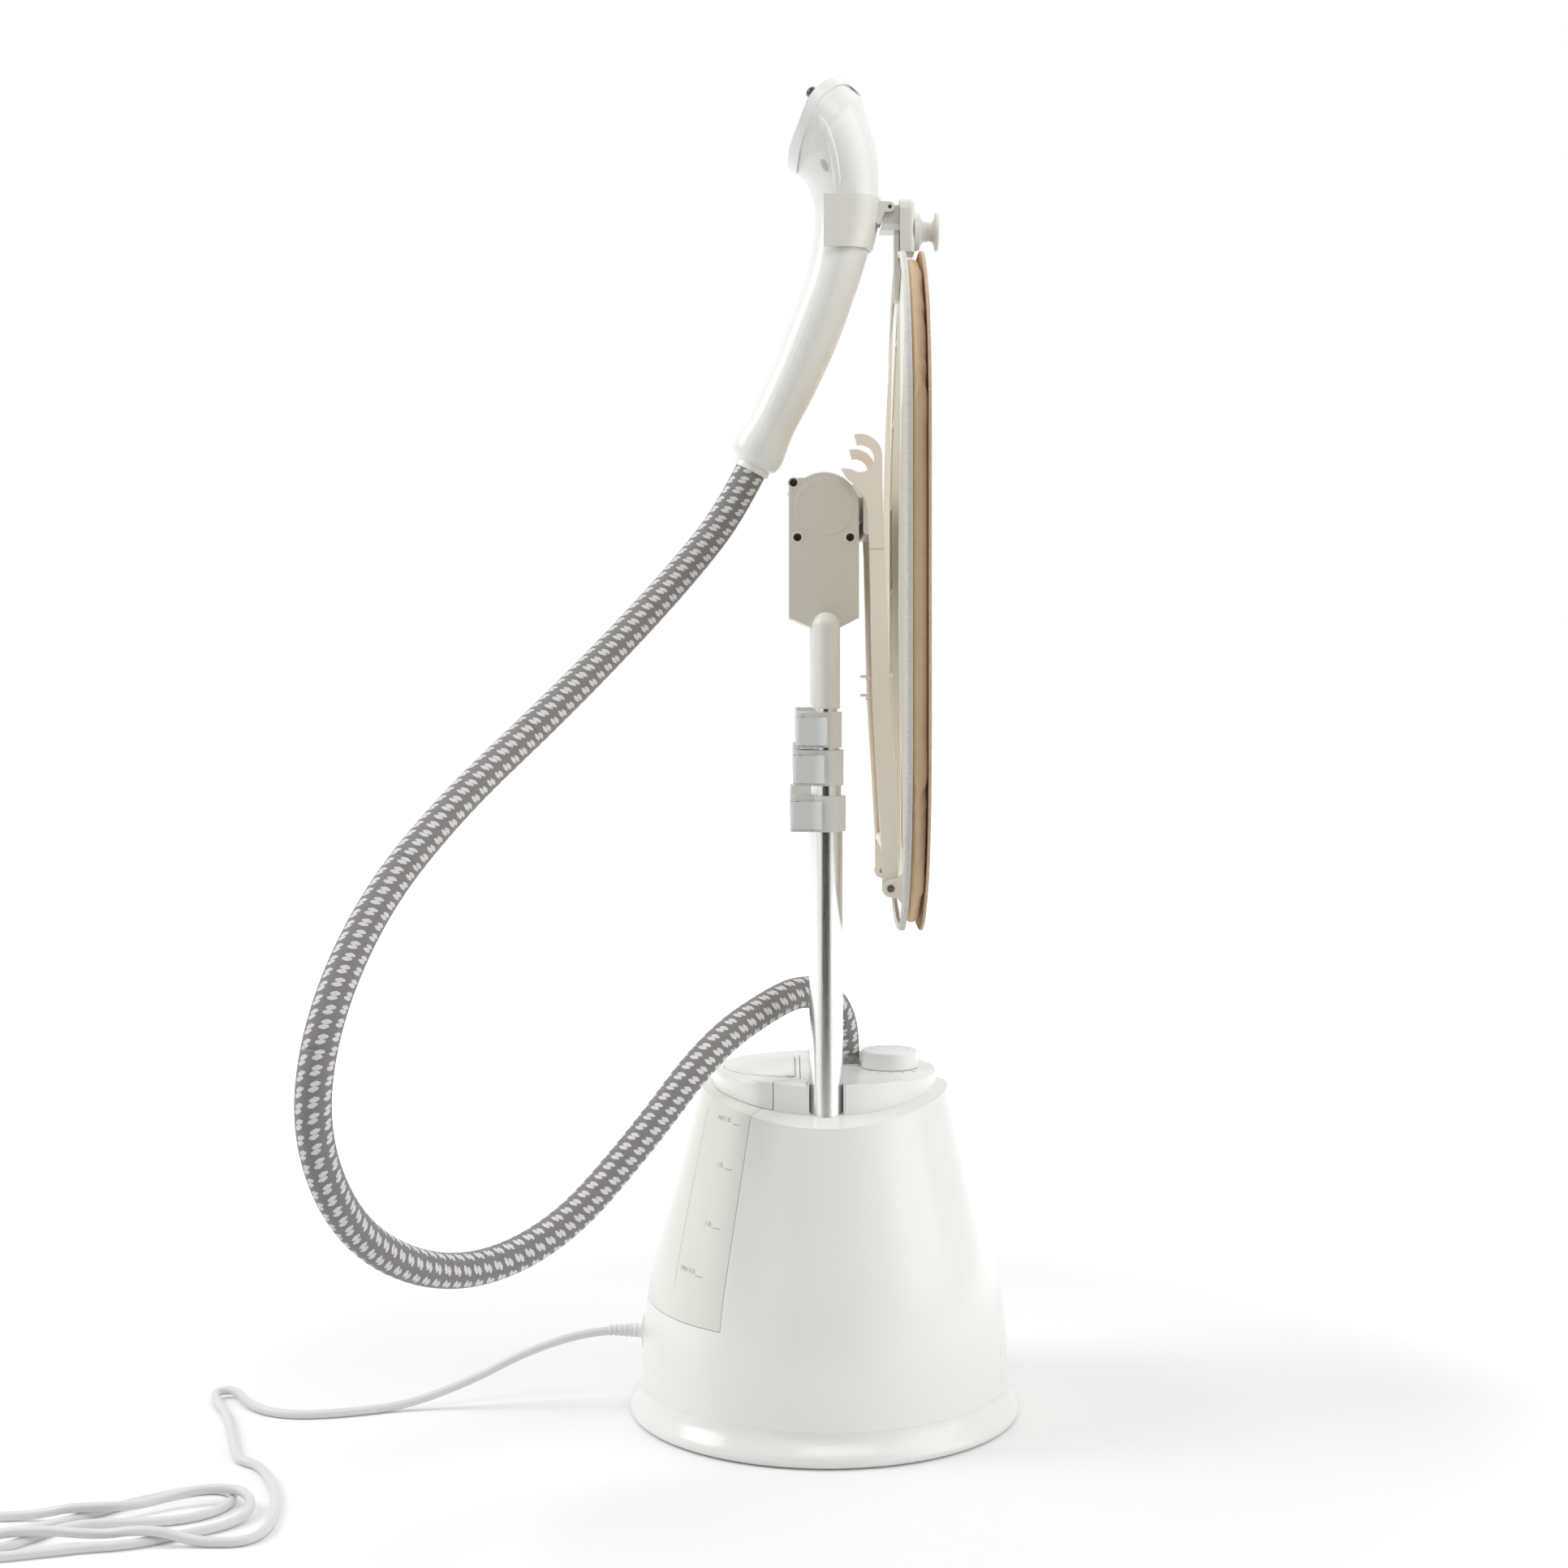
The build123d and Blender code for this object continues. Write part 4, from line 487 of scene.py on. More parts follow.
# %% Metal finishes
pole_alloy = drawn_metal("brushed_anodised_aluminium", "#D9D9D6", "#CFCFCC", 0.27, (1, 1, 0.01), 0.4,
                         0.002)
pin_steel = drawn_metal("turned_dark_steel", "#5E5348", "#4A4038", 0.35, (1, 1, 1), 0.3, 0.004)
bright_steel = drawn_metal("turned_bright_steel", "#BEBDBA", "#A9A8A5", 0.28, (1, 0.05, 1), 0.3, 0.003)
cast_alloy = drawn_metal("cast_aluminium", "#A8A8A6", "#8F8F8D", 0.5, (1, 1, 1), 1.6, 0.05)
plate_steel = drawn_metal("brushed_steam_plate", "#C9C9C7", "#B5B5B3", 0.26, (1, 0.02, 1), 0.4, 0.004)
dress(pole_alloy, "outer_tubes", "lower_tubes", "middle_tubes", "upper_tubes")
dress(pin_steel, "head_screws", "cradle_pin")
dress(bright_steel, "board_pins", "lid_pin")
dress(cast_alloy, "boiler")
dress(plate_steel, "steam_plate")
metals = (pole_alloy, pin_steel, bright_steel, cast_alloy, plate_steel)
print("metals:", [metal.name for metal in metals])

# %% [markdown]
# ## Braid and sheath
# The hose's sleeve is grey polyester with white carriers that surface as paired slanting
# flecks, seven columns round, each a little over half a step past the last. The UV map counts turns
# round and metres along, so the pattern stays real in size on every bend.

# %% Braid
fleck_columns = 7
fleck_step = 0.0092           # metres from one fleck to the next in a column
column_shift = 4 / 7          # of a step, from one column to the next, so it closes after a turn
column_width = pi * hose_diameter / fleck_columns
sleeve_girth, thread_gap = 75.4, 0.9          # millimetres


def braid_finish():
    """Grey braid with paired white flecks, from the hose's own UV map."""
    material, tree = new_finish("braided_polyester_sleeve")
    place = add(tree, "UVMap", uv_map="UVMap")
    turn, run = (add(tree, "SeparateXYZ", place).node.outputs[axis] for axis in ("X", "Y"))
    columns = add(tree, "Math", turn, float(fleck_columns), operation="MULTIPLY")
    column = add(tree, "Math", columns, operation="FLOOR")
    across = add(tree, "Math", add(tree, "Math", columns, operation="FRACT"), 0.5, operation="SUBTRACT")
    rows = add(tree, "Math", column, column_shift,
               add(tree, "Math", run, 1 / fleck_step, operation="MULTIPLY"), operation="MULTIPLY_ADD")
    up = add(tree, "Math", add(tree, "Math", rows, operation="FRACT"), 0.5, operation="SUBTRACT")
    across_mm = add(tree, "Math", across, column_width * 1000, operation="MULTIPLY")
    up_mm = add(tree, "Math", up, fleck_step * 1000, operation="MULTIPLY")
    # A fleck is two bars, 6.6 mm long and 3 mm wide, that join in the middle and taper to
    # their ends. The upper one is shifted to the right, and both rise to the right.
    risen = add(tree, "Math", across_mm, -0.22, up_mm, operation="MULTIPLY_ADD")
    shifted = add(tree, "Math", add(tree, "Math", risen, operation="SIGN"), -0.55, across_mm,
                  operation="MULTIPLY_ADD")
    from_middle = add(tree, "Math", add(tree, "Math", risen, operation="ABSOLUTE"), 1.5,
                      operation="SUBTRACT")
    half_bar = add(tree, "MapRange", add(tree, "Math", shifted, operation="ABSOLUTE"), 0.4, 3.3, 1.75,
                   0.65)
    inside = add(tree, "Math", half_bar, add(tree, "Math", from_middle, operation="ABSOLUTE"),
                 operation="SUBTRACT")
    wide = add(tree, "MapRange", inside, -0.1, 0.1, 0.0, 1.0)
    tall = add(tree, "MapRange", add(tree, "Math", shifted, operation="ABSOLUTE"), 3.2, 3.4, 1.0, 0.0)
    fleck = add(tree, "Math", wide, tall, operation="MULTIPLY")
    # Fine threads cross at a slant.
    thread = add(tree, "CombineXYZ",
                 add(tree, "Math", turn, sleeve_girth / thread_gap, operation="MULTIPLY"),
                 add(tree, "Math", run, 1000 / thread_gap, operation="MULTIPLY"), 0.0)
    parts = add(tree, "SeparateXYZ", thread).node.outputs
    one_way = add(tree, "Math", add(tree, "Math", parts["X"], parts["Y"], operation="ADD"), pi,
                  operation="MULTIPLY")
    other_way = add(tree, "Math", add(tree, "Math", parts["X"], parts["Y"], operation="SUBTRACT"), pi,
                    operation="MULTIPLY")
    weave = add(tree, "Math", add(tree, "Math", add(tree, "Math", one_way, operation="SINE"),
                                  add(tree, "Math", other_way, operation="SINE"), operation="MULTIPLY"),
                0.5, 0.5, operation="MULTIPLY_ADD")
    grey = add(tree, "Mix", weave, hex_colour("#6E6B6B"), hex_colour("#9A9694"), data_type="RGBA")
    white = add(tree, "Mix", weave, hex_colour("#D9D9DA"), hex_colour("#F2F2F2"), data_type="RGBA")
    tone = add(tree, "Mix", fleck, grey, white, data_type="RGBA")
    height = add(tree, "Math", fleck, 0.6, add(tree, "Math", weave, 0.35, operation="MULTIPLY"),
                 operation="MULTIPLY_ADD")
    skin = add(tree, "Bump", named={"Height": height, "Distance": 0.0006, "Strength": 1.0})
    body = add(tree, "BsdfPrincipled", named={"Base Color": tone, "Roughness": 0.62, "Normal": skin,
                                              "Sheen Weight": 0.25, "Sheen Roughness": 0.4})
    add(tree, "OutputMaterial", body)
    return material


# %% Hose and lead finishes
sleeve = braid_finish()
for piece in hose_pieces:
    dress(sleeve, piece)
# Soft PVC sheath: light grey, a dull shine.
sheath = moulded_plastic("grey_pvc_sheath", "#E3E4E4", "#DCDDDD", 0.36, 1.2, 0.01)
dress(sheath, mains_lead, strain_relief, "mains_plug")
print("braid step", fleck_step * 1000, "mm")

# %% [markdown]
# ## Rims of the board
# Pad, cloth and hem all follow the board's outline, a rectangle with very round corners.
# Their rims are bands: the outline as one ring of vertices, extruded along a small profile.
# That needs only as many steps as the profile has points, however fine the ring is.

# %% Outline and bands
pad_low, pad_high = (Vector(corner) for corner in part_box("board_pad"))
cloth_high = Vector(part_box("ironing_cloth")[1])
hem_low, hem_high = (Vector(corner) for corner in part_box("cover_hem"))
board_corner = 0.138
pad_back, cloth_front = pad_low.x, cloth_high.x
cloth_back = cloth_front - 0.0026      # the cloth with its overlocked edge is 2.6 mm thick
board_middle_z = (pad_low.z + pad_high.z) / 2


def board_line(inset, spacing):
    """Evenly spaced points round the board's outline, this far inside the pad's, and its length."""
    half_y, half_z = pad_high.y - inset, (pad_high.z - pad_low.z) / 2 - inset
    corner = board_corner - inset
    ring = []
    for turn, (right, up) in enumerate(((1, 1), (-1, 1), (-1, -1), (1, -1))):
        for step in range(61):
            angle = pi / 2 * (turn + step / 60)
            ring.append(Vector((0, right * (half_y - corner) + corner * cos(angle),
                                board_middle_z + up * (half_z - corner) + corner * sin(angle))))
    spaced, length = even_points(ring + ring[:1], spacing)
    return spaced[:-1], length


print("board outline", round(board_line(0.0, 0.004)[1], 3), "m round")


# %% Band along the outline
def rim_band(name, inset, x, profile, spacing, swell):
    """A closed band along the outline.

    profile is a closed outline of (x, outward) metres, from the band's own middle at x and
    inset. swell(i) is how much thicker it is at ring point i.
    """
    ring = board_line(inset, spacing)[0]
    count = len(ring)
    outward = []
    for i in range(count):
        along = ring[(i + 1) % count] - ring[i - 1]
        outward.append(Vector((0, along.z, -along.y)).normalized())
    bm = bmesh.new()
    place = bm.verts.layers.int.new("place")
    loop = [bm.verts.new(point) for point in ring]
    for i, vert in enumerate(loop):
        vert[place] = i
    edges = [bm.edges.new(pair) for pair in zip(loop, loop[1:] + loop[:1])]
    first_edges, now = list(edges), loop
    for step, (deep, out) in enumerate(profile):
        if step:
            made = bmesh.ops.extrude_edge_only(bm, edges=edges)["geom"]
            now = [item for item in made if isinstance(item, bmesh.types.BMVert)]
            fresh = set(now)
            edges = [item for item in made if isinstance(item, bmesh.types.BMEdge)
                     and item.verts[0] in fresh and item.verts[1] in fresh]
        for vert in now:
            i = vert[place]
            vert.co = ring[i] + outward[i] * out * swell(i) + Vector((x + deep * swell(i), 0, 0))
    bmesh.ops.bridge_loops(bm, edges=first_edges + edges)
    bmesh.ops.recalc_face_normals(bm, faces=bm.faces)
    bm.verts.layers.int.remove(place)
    return new_piece(name, bm)


# %% [markdown]
# ## The ironing pad
# The board wears a tan felt pad, about 11 mm thick, whose edge is rounded and swells a
# little between the board and the cloth. The cloth simulation pushes a remeshed slab outwards
# with a little air pressure; its back stays on the board.

# %% Slab to start from
def board_slab(name, inset, back, front, round_edge):
    """A closed slab in the board's outline between two planes, its rims rounded."""
    bm = bmesh.new()
    face = bm.faces.new([bm.verts.new((back, point.y, point.z))
                         for point in board_line(inset, 0.004)[0]])
    grown = bmesh.ops.extrude_face_region(bm, geom=[face])["geom"]
    bmesh.ops.translate(bm, vec=(front - back, 0, 0),
                        verts=[item for item in grown if isinstance(item, bmesh.types.BMVert)])
    rims = [edge for edge in bm.edges if abs(edge.verts[0].co.x - edge.verts[1].co.x) < 1e-6]
    bmesh.ops.bevel(bm, geom=rims, offset=round_edge, segments=4, profile=0.5, affect="EDGES",
                    material=-1)
    bmesh.ops.recalc_face_normals(bm, faces=bm.faces)
    return new_piece(name, bm)


# %% Applying modifiers
def applied(piece):
    """Makes what the modifiers give the piece's own mesh."""
    shaped = bpy.data.meshes.new_from_object(
        piece.evaluated_get(bpy.context.evaluated_depsgraph_get()))
    piece.modifiers.clear()
    piece.data = shaped
    return piece


# %% Cloth simulation
def swell_with_air(piece, voxel, cap, held_below):
    """Voxel remesh, then air pressure for 20 frames; no point moves further than cap."""
    remesh = piece.modifiers.new("remesh", "REMESH")
    remesh.mode = "VOXEL"
    remesh.voxel_size = voxel
    applied(piece)
    start = [vertex.co.copy() for vertex in piece.data.vertices]
    held = piece.vertex_groups.new(name="held")
    held.add([i for i, spot in enumerate(start) if spot.x < held_below], 1.0, "REPLACE")
    cloth = piece.modifiers.new("cloth", "CLOTH")
    cloth.settings.use_pressure = True
    cloth.settings.uniform_pressure_force = 4.0
    cloth.settings.effector_weights.gravity = 0.0
    cloth.settings.vertex_group_mass = "held"
    cloth.settings.quality = 5
    cloth.collision_settings.use_collision = False
    for number in range(1, 21):
        scene.frame_set(number)
    applied(piece)
    scene.frame_set(1)
    for vertex, before in zip(piece.data.vertices, start):
        move = vertex.co - before
        if move.length > cap:
            vertex.co = before + move.normalized() * cap


# %% Pad
pad_inset, pad_round = 0.0022, 0.0032
pad_voxel, furthest_move, wrinkle = 0.005, 0.005, 0.0008
pad = board_slab("tan_pad", pad_inset, pad_back + 0.0004, cloth_back, pad_round)
swell_with_air(pad, pad_voxel, furthest_move, pad_back + 0.001)
for vertex in pad.data.vertices:
    spot = vertex.co
    spot.x = min(max(spot.x, pad_back), cloth_back)
    if spot.x > pad_back + 0.002:
        # Long shallow wrinkles run up the rim, where the felt was pulled over.
        pull = noise.noise(Vector((spot.y * 12, spot.z * 16, spot.x * 120)))
        spot.y += wrinkle * pull * (1 if spot.y > 0 else -1)
softened = pad.modifiers.new("softened", "SUBSURF")
softened.levels = softened.render_levels = 1
applied(pad)
for face in pad.data.polygons:
    face.use_smooth = True
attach(pad, "board")
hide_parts("board_pad")
print("pad", len(pad.data.polygons), "faces")

# %% [markdown]
# ## The ironing cloth
# Over the pad lies a brown cloth with a short nap. It is a flat sheet, a little crowned, and
# its raw edge is overlocked: a thread wraps round it every 2 mm. The sheet starts as one face
# in the board's outline, inset again and again; the overlock is a band that swells and sinks.

# %% Cloth sheet
cloth_inset = 0.0016
inner_rings, ring_width = 14, 0.0095
crown, unevenness = 0.0009, 0.0002
cloth_ring, cloth_girth = board_line(cloth_inset, 0.004)
bm = bmesh.new()
bm.faces.new([bm.verts.new((cloth_back + 0.0004, point.y, point.z)) for point in cloth_ring])
for _ in range(inner_rings):
    bmesh.ops.inset_region(bm, faces=[face for face in bm.faces if len(face.verts) > 4],
                           thickness=ring_width, use_even_offset=True)
for vert in bm.verts:
    from_edge = 1 - max(abs(vert.co.y) / 0.15, abs(vert.co.z - board_middle_z) / 0.26)
    vert.co.x += crown * min(1.0, max(0.0, from_edge) * 6) + unevenness * noise.noise(vert.co * 30)
bmesh.ops.recalc_face_normals(bm, faces=bm.faces)
if next(iter(bm.faces)).normal.x < 0:
    bmesh.ops.reverse_faces(bm, faces=bm.faces)
napped_cloth = new_piece("napped_cloth", bm)
wall = napped_cloth.modifiers.new("thickness", "SOLIDIFY")
wall.thickness = 0.0012
wall.offset = 1.0
applied(napped_cloth)
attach(napped_cloth, "board")
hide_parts("ironing_cloth")

# %% [markdown]
# ## Overlocked edge
# An overlocker wraps thread round a raw edge so that it can't fray. Each loop of thread could
# be a curve of its own, but there are several hundred. One bead along the edge that swells and
# sinks once for each stitch reads the same at this size.

# %% Overlocked edge
stitch_pitch = 0.002


def bead(half, half_out, count):
    """Profile of a round or oval bead."""
    return [(half * cos(2 * pi * i / count), half_out * sin(2 * pi * i / count)) for i in range(count)]


overlock = rim_band("cloth_overlock", 0.0011, (cloth_back + cloth_front) / 2, bead(0.00125, 0.001, 8),
                    stitch_pitch / 4, lambda i: 0.78 + 0.22 * abs(sin(pi * i / 4)))
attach(overlock, "board")
print("overlock", round(cloth_girth / stitch_pitch), "stitches")

# %% [markdown]
# ## The elastic hem
# Behind the board, the pad's cover is gathered into a white elastic band that grips the
# frame's rim. Woven in ribs along its length, it is gathered into fine folds, and a twisted
# cord is stitched along its back edge.

# %% Hem
hem_depth = hem_high.x - hem_low.x
hem_ribs = 5
hem_profile = [(0.0, 0.0)]
for rib in range(hem_ribs):
    back = -hem_depth * 0.72 * (rib + 0.5) / hem_ribs
    hem_profile += [(back, 0.00045), (back - hem_depth * 0.36 / hem_ribs, 0.0)]
hem_profile += [(-hem_depth * 0.8, -0.0012), (-hem_depth * 0.8, -0.0042), (-hem_depth * 0.7, -0.0045),
                (-hem_depth * 0.66, -0.0016), (-0.0002, -0.0012)]
hem_step = 0.0011
hem = rim_band("elastic_hem", 0.0006, hem_high.x, hem_profile, hem_step,
               lambda i: 1 + 0.03 * sin(2 * pi * i * hem_step / 0.0044))
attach(hem, "board")
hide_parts("cover_hem")
# The cord is two yarns twisted together, each thick where the other is thin.
twist = 0.0036
yarns = []
for number in (0, 1):
    yarn = rim_band(f"hem_cord_{number + 1}", 0.0018, hem_low.x + 0.0011,
                    [(0.0004 * (1 - 2 * number) + x, y) for x, y in bead(0.0007, 0.0009, 8)], twist / 6,
                    lambda i, turn=number: 0.86 + 0.14 * sin(2 * pi * i / 6 + pi * turn))
    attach(yarn, "board")
    yarns.append(yarn)
print("hem", len(hem.data.polygons), "faces")

# %% [markdown]
# ## Cloth finishes
# Felt scatters light from countless fibres: no shine, a soft sheen at the edges, and a
# mottled surface. The nap is darker where it leans away. The elastic is a fine white rib.

# %% Fibres
def fibre_finish(name, light, dark, fibre, lump, depth, sheen, tint):
    """Felted or napped cloth. Fibre and lump are sizes in mm, depth is the nap's height in mm."""
    material, tree = new_finish(name)
    spot = add(tree, "TexCoord").node.outputs["Object"]
    fibres = add(tree, "TexNoise", named={"Vector": spot, "Scale": 1000 / fibre, "Detail": 3.0,
                                          "Roughness": 0.7})
    lumps = add(tree, "TexNoise", named={"Vector": spot, "Scale": 1000 / lump, "Detail": 2.0})
    mixed = add(tree, "Math", fibres, 0.65, add(tree, "Math", lumps, 0.35, operation="MULTIPLY"),
                operation="MULTIPLY_ADD")
    spread = add(tree, "MapRange", mixed, 0.36, 0.64, 0.0, 1.0)
    tone = add(tree, "Mix", spread, hex_colour(dark), hex_colour(light), data_type="RGBA")
    skin = add(tree, "Bump", named={"Height": mixed, "Distance": depth * millimetre, "Strength": 0.9})
    body = add(tree, "BsdfPrincipled", named={"Base Color": tone, "Roughness": 0.9, "Normal": skin,
                                              "Sheen Weight": sheen, "Sheen Roughness": 0.5,
                                              "Sheen Tint": hex_colour(tint), "Specular IOR Level": 0.2})
    add(tree, "OutputMaterial", body)
    return material


# %% Cloth finishes
tan_felt = fibre_finish("tan_needled_felt", "#F3DCBC", "#E8CDA8", 0.8, 14, 0.15, 0.35, "#F6E4CC")
brown_nap = fibre_finish("brown_napped_cloth", "#C6AC90", "#9C8066", 0.7, 6, 0.5, 0.5, "#D9C2A6")
overlock_thread = fibre_finish("spun_polyester_thread", "#DCC4A6", "#BFA384", 0.5, 4, 0.1, 0.3,
                               "#E9D9C2")
white_elastic = fibre_finish("white_knitted_elastic", "#EFEEEA", "#E2E0DB", 0.6, 5, 0.15, 0.25,
                             "#FFFFFF")
dress(tan_felt, pad, "board_pad")
dress(brown_nap, napped_cloth, "ironing_cloth")
dress(overlock_thread, overlock)
dress(white_elastic, hem, *yarns, "cover_hem")
print("cloth finishes:", tan_felt.name, brown_nap.name, overlock_thread.name, white_elastic.name)

# %% [markdown]
# ## Laying things on a surface
# Ribs, plugs and rims have to touch the shells and arms. Their places could be typed in, but a
# ray sent at the surface finds the spot and the way it faces, and still does if the shape is
# changed.

# %% Where a ray meets a surface
ray_reach = 0.3               # side rays start this far out, well outside what they aim at


def surface_spot(targets, origin, way):
    """Where a ray first meets one of the CAD nodes or new pieces, and the normal there."""
    hits = []
    for target in targets:
        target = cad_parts[target] if isinstance(target, str) else target
        hit, spot, normal, _ = target.ray_cast(Vector(origin), Vector(way))
        if hit:
            hits.append(((spot - Vector(origin)).length, spot, normal))
    return min(hits, key=lambda item: item[0])[1:]


print("side rays start at y =", -ray_reach, "and", ray_reach)


# %% Bead on a side
def side_bead(name, targets, points, width, height, side):
    """A bead on the targets' near (-1) or far (1) side, through (x, z) points in millimetres."""
    guide = nurbs_line(name + "_line", [(x, 0, z) for x, z in points])
    flat = even_points(line_points(guide), 0.0012)[0]
    bpy.data.objects.remove(guide)
    spots = [surface_spot(targets, (point.x, side * ray_reach, point.z), (0, -side, 0))
             for point in flat]
    bm = bmesh.new()
    rows = []
    for i, (spot, normal) in enumerate(spots):
        share = i / (len(spots) - 1)
        taper = min(1.0, 6 * share + 0.15, 6 * (1 - share) + 0.15)
        along = (spots[min(i + 1, len(spots) - 1)][0] - spots[max(i - 1, 0)][0]).normalized()
        across = along.cross(normal).normalized()
        row = []
        for step in range(9):
            angle = pi * step / 8
            row.append(bm.verts.new(spot + across * cos(angle) * width / 2 * taper
                                    + normal * (sin(angle) * height * taper - 0.0002)))
        rows.append([bm.edges.new(pair) for pair in zip(row, row[1:])])
    for before, after in zip(rows, rows[1:]):
        bmesh.ops.bridge_loops(bm, edges=before + after)
    bmesh.ops.recalc_face_normals(bm, faces=bm.faces)
    middle_spot, middle_normal = spots[len(spots) // 2]
    middle_face = min(bm.faces, key=lambda face: (face.calc_center_median() - middle_spot).length)
    if middle_face.normal.dot(middle_normal) < 0:
        bmesh.ops.reverse_faces(bm, faces=bm.faces)
    return new_piece(name, bm)


# %% [markdown]
# ## Smooth shells
# The handset's shells are moulded in one flowing curve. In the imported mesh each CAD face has
# corners of its own, so light breaks along every border. Merging the corners and keeping only
# true creases sharp gives one smooth skin of the same shape.

# %% Smooth shells
def smooth_copy(node, name, crease):
    """A copy of a CAD node's mesh with its corners merged, so that light runs smoothly over it."""
    bm = bmesh.new()
    bm.from_mesh(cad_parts[node].data)
    bmesh.ops.remove_doubles(bm, verts=bm.verts, dist=2e-6)
    for edge in bm.edges:
        edge.smooth = len(edge.link_faces) == 2 and edge.calc_face_angle(0.0) < radians(crease)
    piece = new_piece(name, bm)
    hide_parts(node)
    return piece


shells = []
for node in ("handset_front_shell", "handset_rear_shell"):
    shell = smooth_copy(node, node.replace("handset", "moulded"), 32)
    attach(shell, "handset")
    dress(gloss_white, shell)
    shells.append(shell)
bpy.context.view_layer.update()
print("smooth shells", [len(shell.data.vertices) for shell in shells], "corners")

# %% [markdown]
# ## Ribs on the handset
# Where the two half shells meet, their edges are rolled into a raised rib that runs down from
# the steam head. A thinner rib borders the head. Both are tapered half-round beads, laid on
# the shells by sending rays at them from the side.

# %% Ribs
seam_rib = ((-5.6, 988.0), (0.9, 975.5), (5.4, 962.1), (7.9, 949.7), (9.0, 939.2), (9.3, 930.6))
border_rib = ((-1.8, 985.5), (2.5, 990.0), (8.0, 994.2), (14.0, 996.6), (22.0, 997.6))
for side, word in ((-1, "near"), (1, "far")):
    for kind, points, width, height in (("seam", seam_rib, 0.0062, 0.0011),
                                        ("border", border_rib, 0.0012, 0.0004)):
        rib = side_bead(f"{kind}_rib_{word}", shells, points, width, height, side)
        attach(rib, "handset")
        dress(gloss_white, rib)
print("ribs 4")

# %% [markdown]
# ## Plugs, screws and small marks
# Small round things are turned from a profile: a half outline spun once round an axis, and
# its two ends merged. One function does that for screw plugs, rings and the sensor lens, and
# puts each in its place with its own axes.

# %% Turned pieces
def turned(name, profile, centre, axis, stretch=(1, 1), around=(0, 0, 1), steps=28):
    """Spins (radius, height) points in metres round an axis; stretch widens it across."""
    bm = bmesh.new()
    verts = [bm.verts.new((radius, 0, height)) for radius, height in profile]
    edges = [bm.edges.new(pair) for pair in zip(verts, verts[1:])]
    bmesh.ops.spin(bm, geom=verts + edges, cent=(0, 0, 0), axis=(0, 0, 1), angle=2 * pi, steps=steps,
                   use_merge=True, use_duplicate=False)
    bmesh.ops.remove_doubles(bm, verts=bm.verts, dist=1e-6)
    bmesh.ops.recalc_face_normals(bm, faces=bm.faces)
    up = Vector(axis).normalized()
    first = (Vector(around) - up * up.dot(Vector(around))).normalized()
    second = up.cross(first)
    place = Matrix(((first.x, second.x, up.x, centre[0]), (first.y, second.y, up.y, centre[1]),
                    (first.z, second.z, up.z, centre[2]), (0, 0, 0, 1)))
    bmesh.ops.transform(bm, matrix=place @ Matrix.Diagonal((*stretch, 1, 1)), verts=bm.verts)
    return new_piece(name, bm)


# %% Profiles to turn
def ring_profile(radius, half_width, height):
    """Half outline of a flat rounded ring, closed on itself."""
    return [(radius + half_width * cos(pi * i / 6), height * sin(pi * i / 6)) for i in range(7)] + [
        (radius - half_width, -0.0003), (radius + half_width, -0.0003), (radius + half_width, 0.0)]


def cap_profile(radius, height):
    """Half outline of a low dome. Its back is open, and its rim is sunk 0.3 mm."""
    return [(radius, -0.0003), (radius, height * 0.5), (radius * 0.93, height * 0.85),
            (radius * 0.6, height), (0.0, height)]


print("ring and cap profiles have", len(ring_profile(0.01, 0.001, 0.001)), "and",
      len(cap_profile(0.01, 0.001)), "points")

# %% [markdown]
# ## Handset dimple shade and lens
# On each side of the handset a pale grey oval, drawn out along the grip, is painted shade
# that stands for the hollow of a shallow dimple. A smoked lens sits in the steam face. Both
# could be balls pressed flat, but a turned cap needs only its seen side: its back is left
# open, and its rim is sunk so that no gap shows all round.

# %% Handset dimple shade and lens
dark_lens = moulded_plastic("smoked_lens", "#2E3134", "#25282B", 0.08, 2.0, 0.002)
# Painted shade: this grey is darker than the shell and stands for the hollow of a shallow dimple.
dimple_shade_grey = moulded_plastic("grey_painted_dimple_shade", "#CBCDC9", "#C2C4C0", 0.5, 0.6, 0.01)
plug_x, plug_z = -0.0004, 0.9504
# On each side a flat oval of that painted dimple shade is laid on the shell.
for side, word in ((-1, "near"), (1, "far")):
    spot, normal = surface_spot(shells, (plug_x, side * ray_reach, plug_z), (0, -side, 0))
    plug = turned(f"handset_dimple_shade_{word}", cap_profile(0.0023, 0.00035), spot, normal, stretch=(2.2, 1),
                  around=(-0.32, 0, 0.95))
    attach(plug, "handset")
    dress(dimple_shade_grey, plug)
lens_way = Vector((0.75, 0, -0.66))
lens_start = Vector((-0.0056, 0, 1.0075)) - lens_way * 0.1
lens_spot, lens_normal = surface_spot(("steam_plate",), lens_start, lens_way)
lens = turned("sensor_lens", cap_profile(0.0046, 0.009), lens_spot, lens_normal, stretch=(1.0, 1.5),
              around=(0.66, 0, 0.75))
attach(lens, "handset")
dress(dark_lens, lens)
print("lens at", [round(value, 4) for value in lens_spot])

# %% [markdown]
# ## Head screws and boss rings
# Three screws on each side close the head, each in a hole with a pale rim, and a thin ring
# runs round the boss where the arm turns. Such rims could be cut into the solid, but rings
# laid on its face are finer than a solid needs to be.

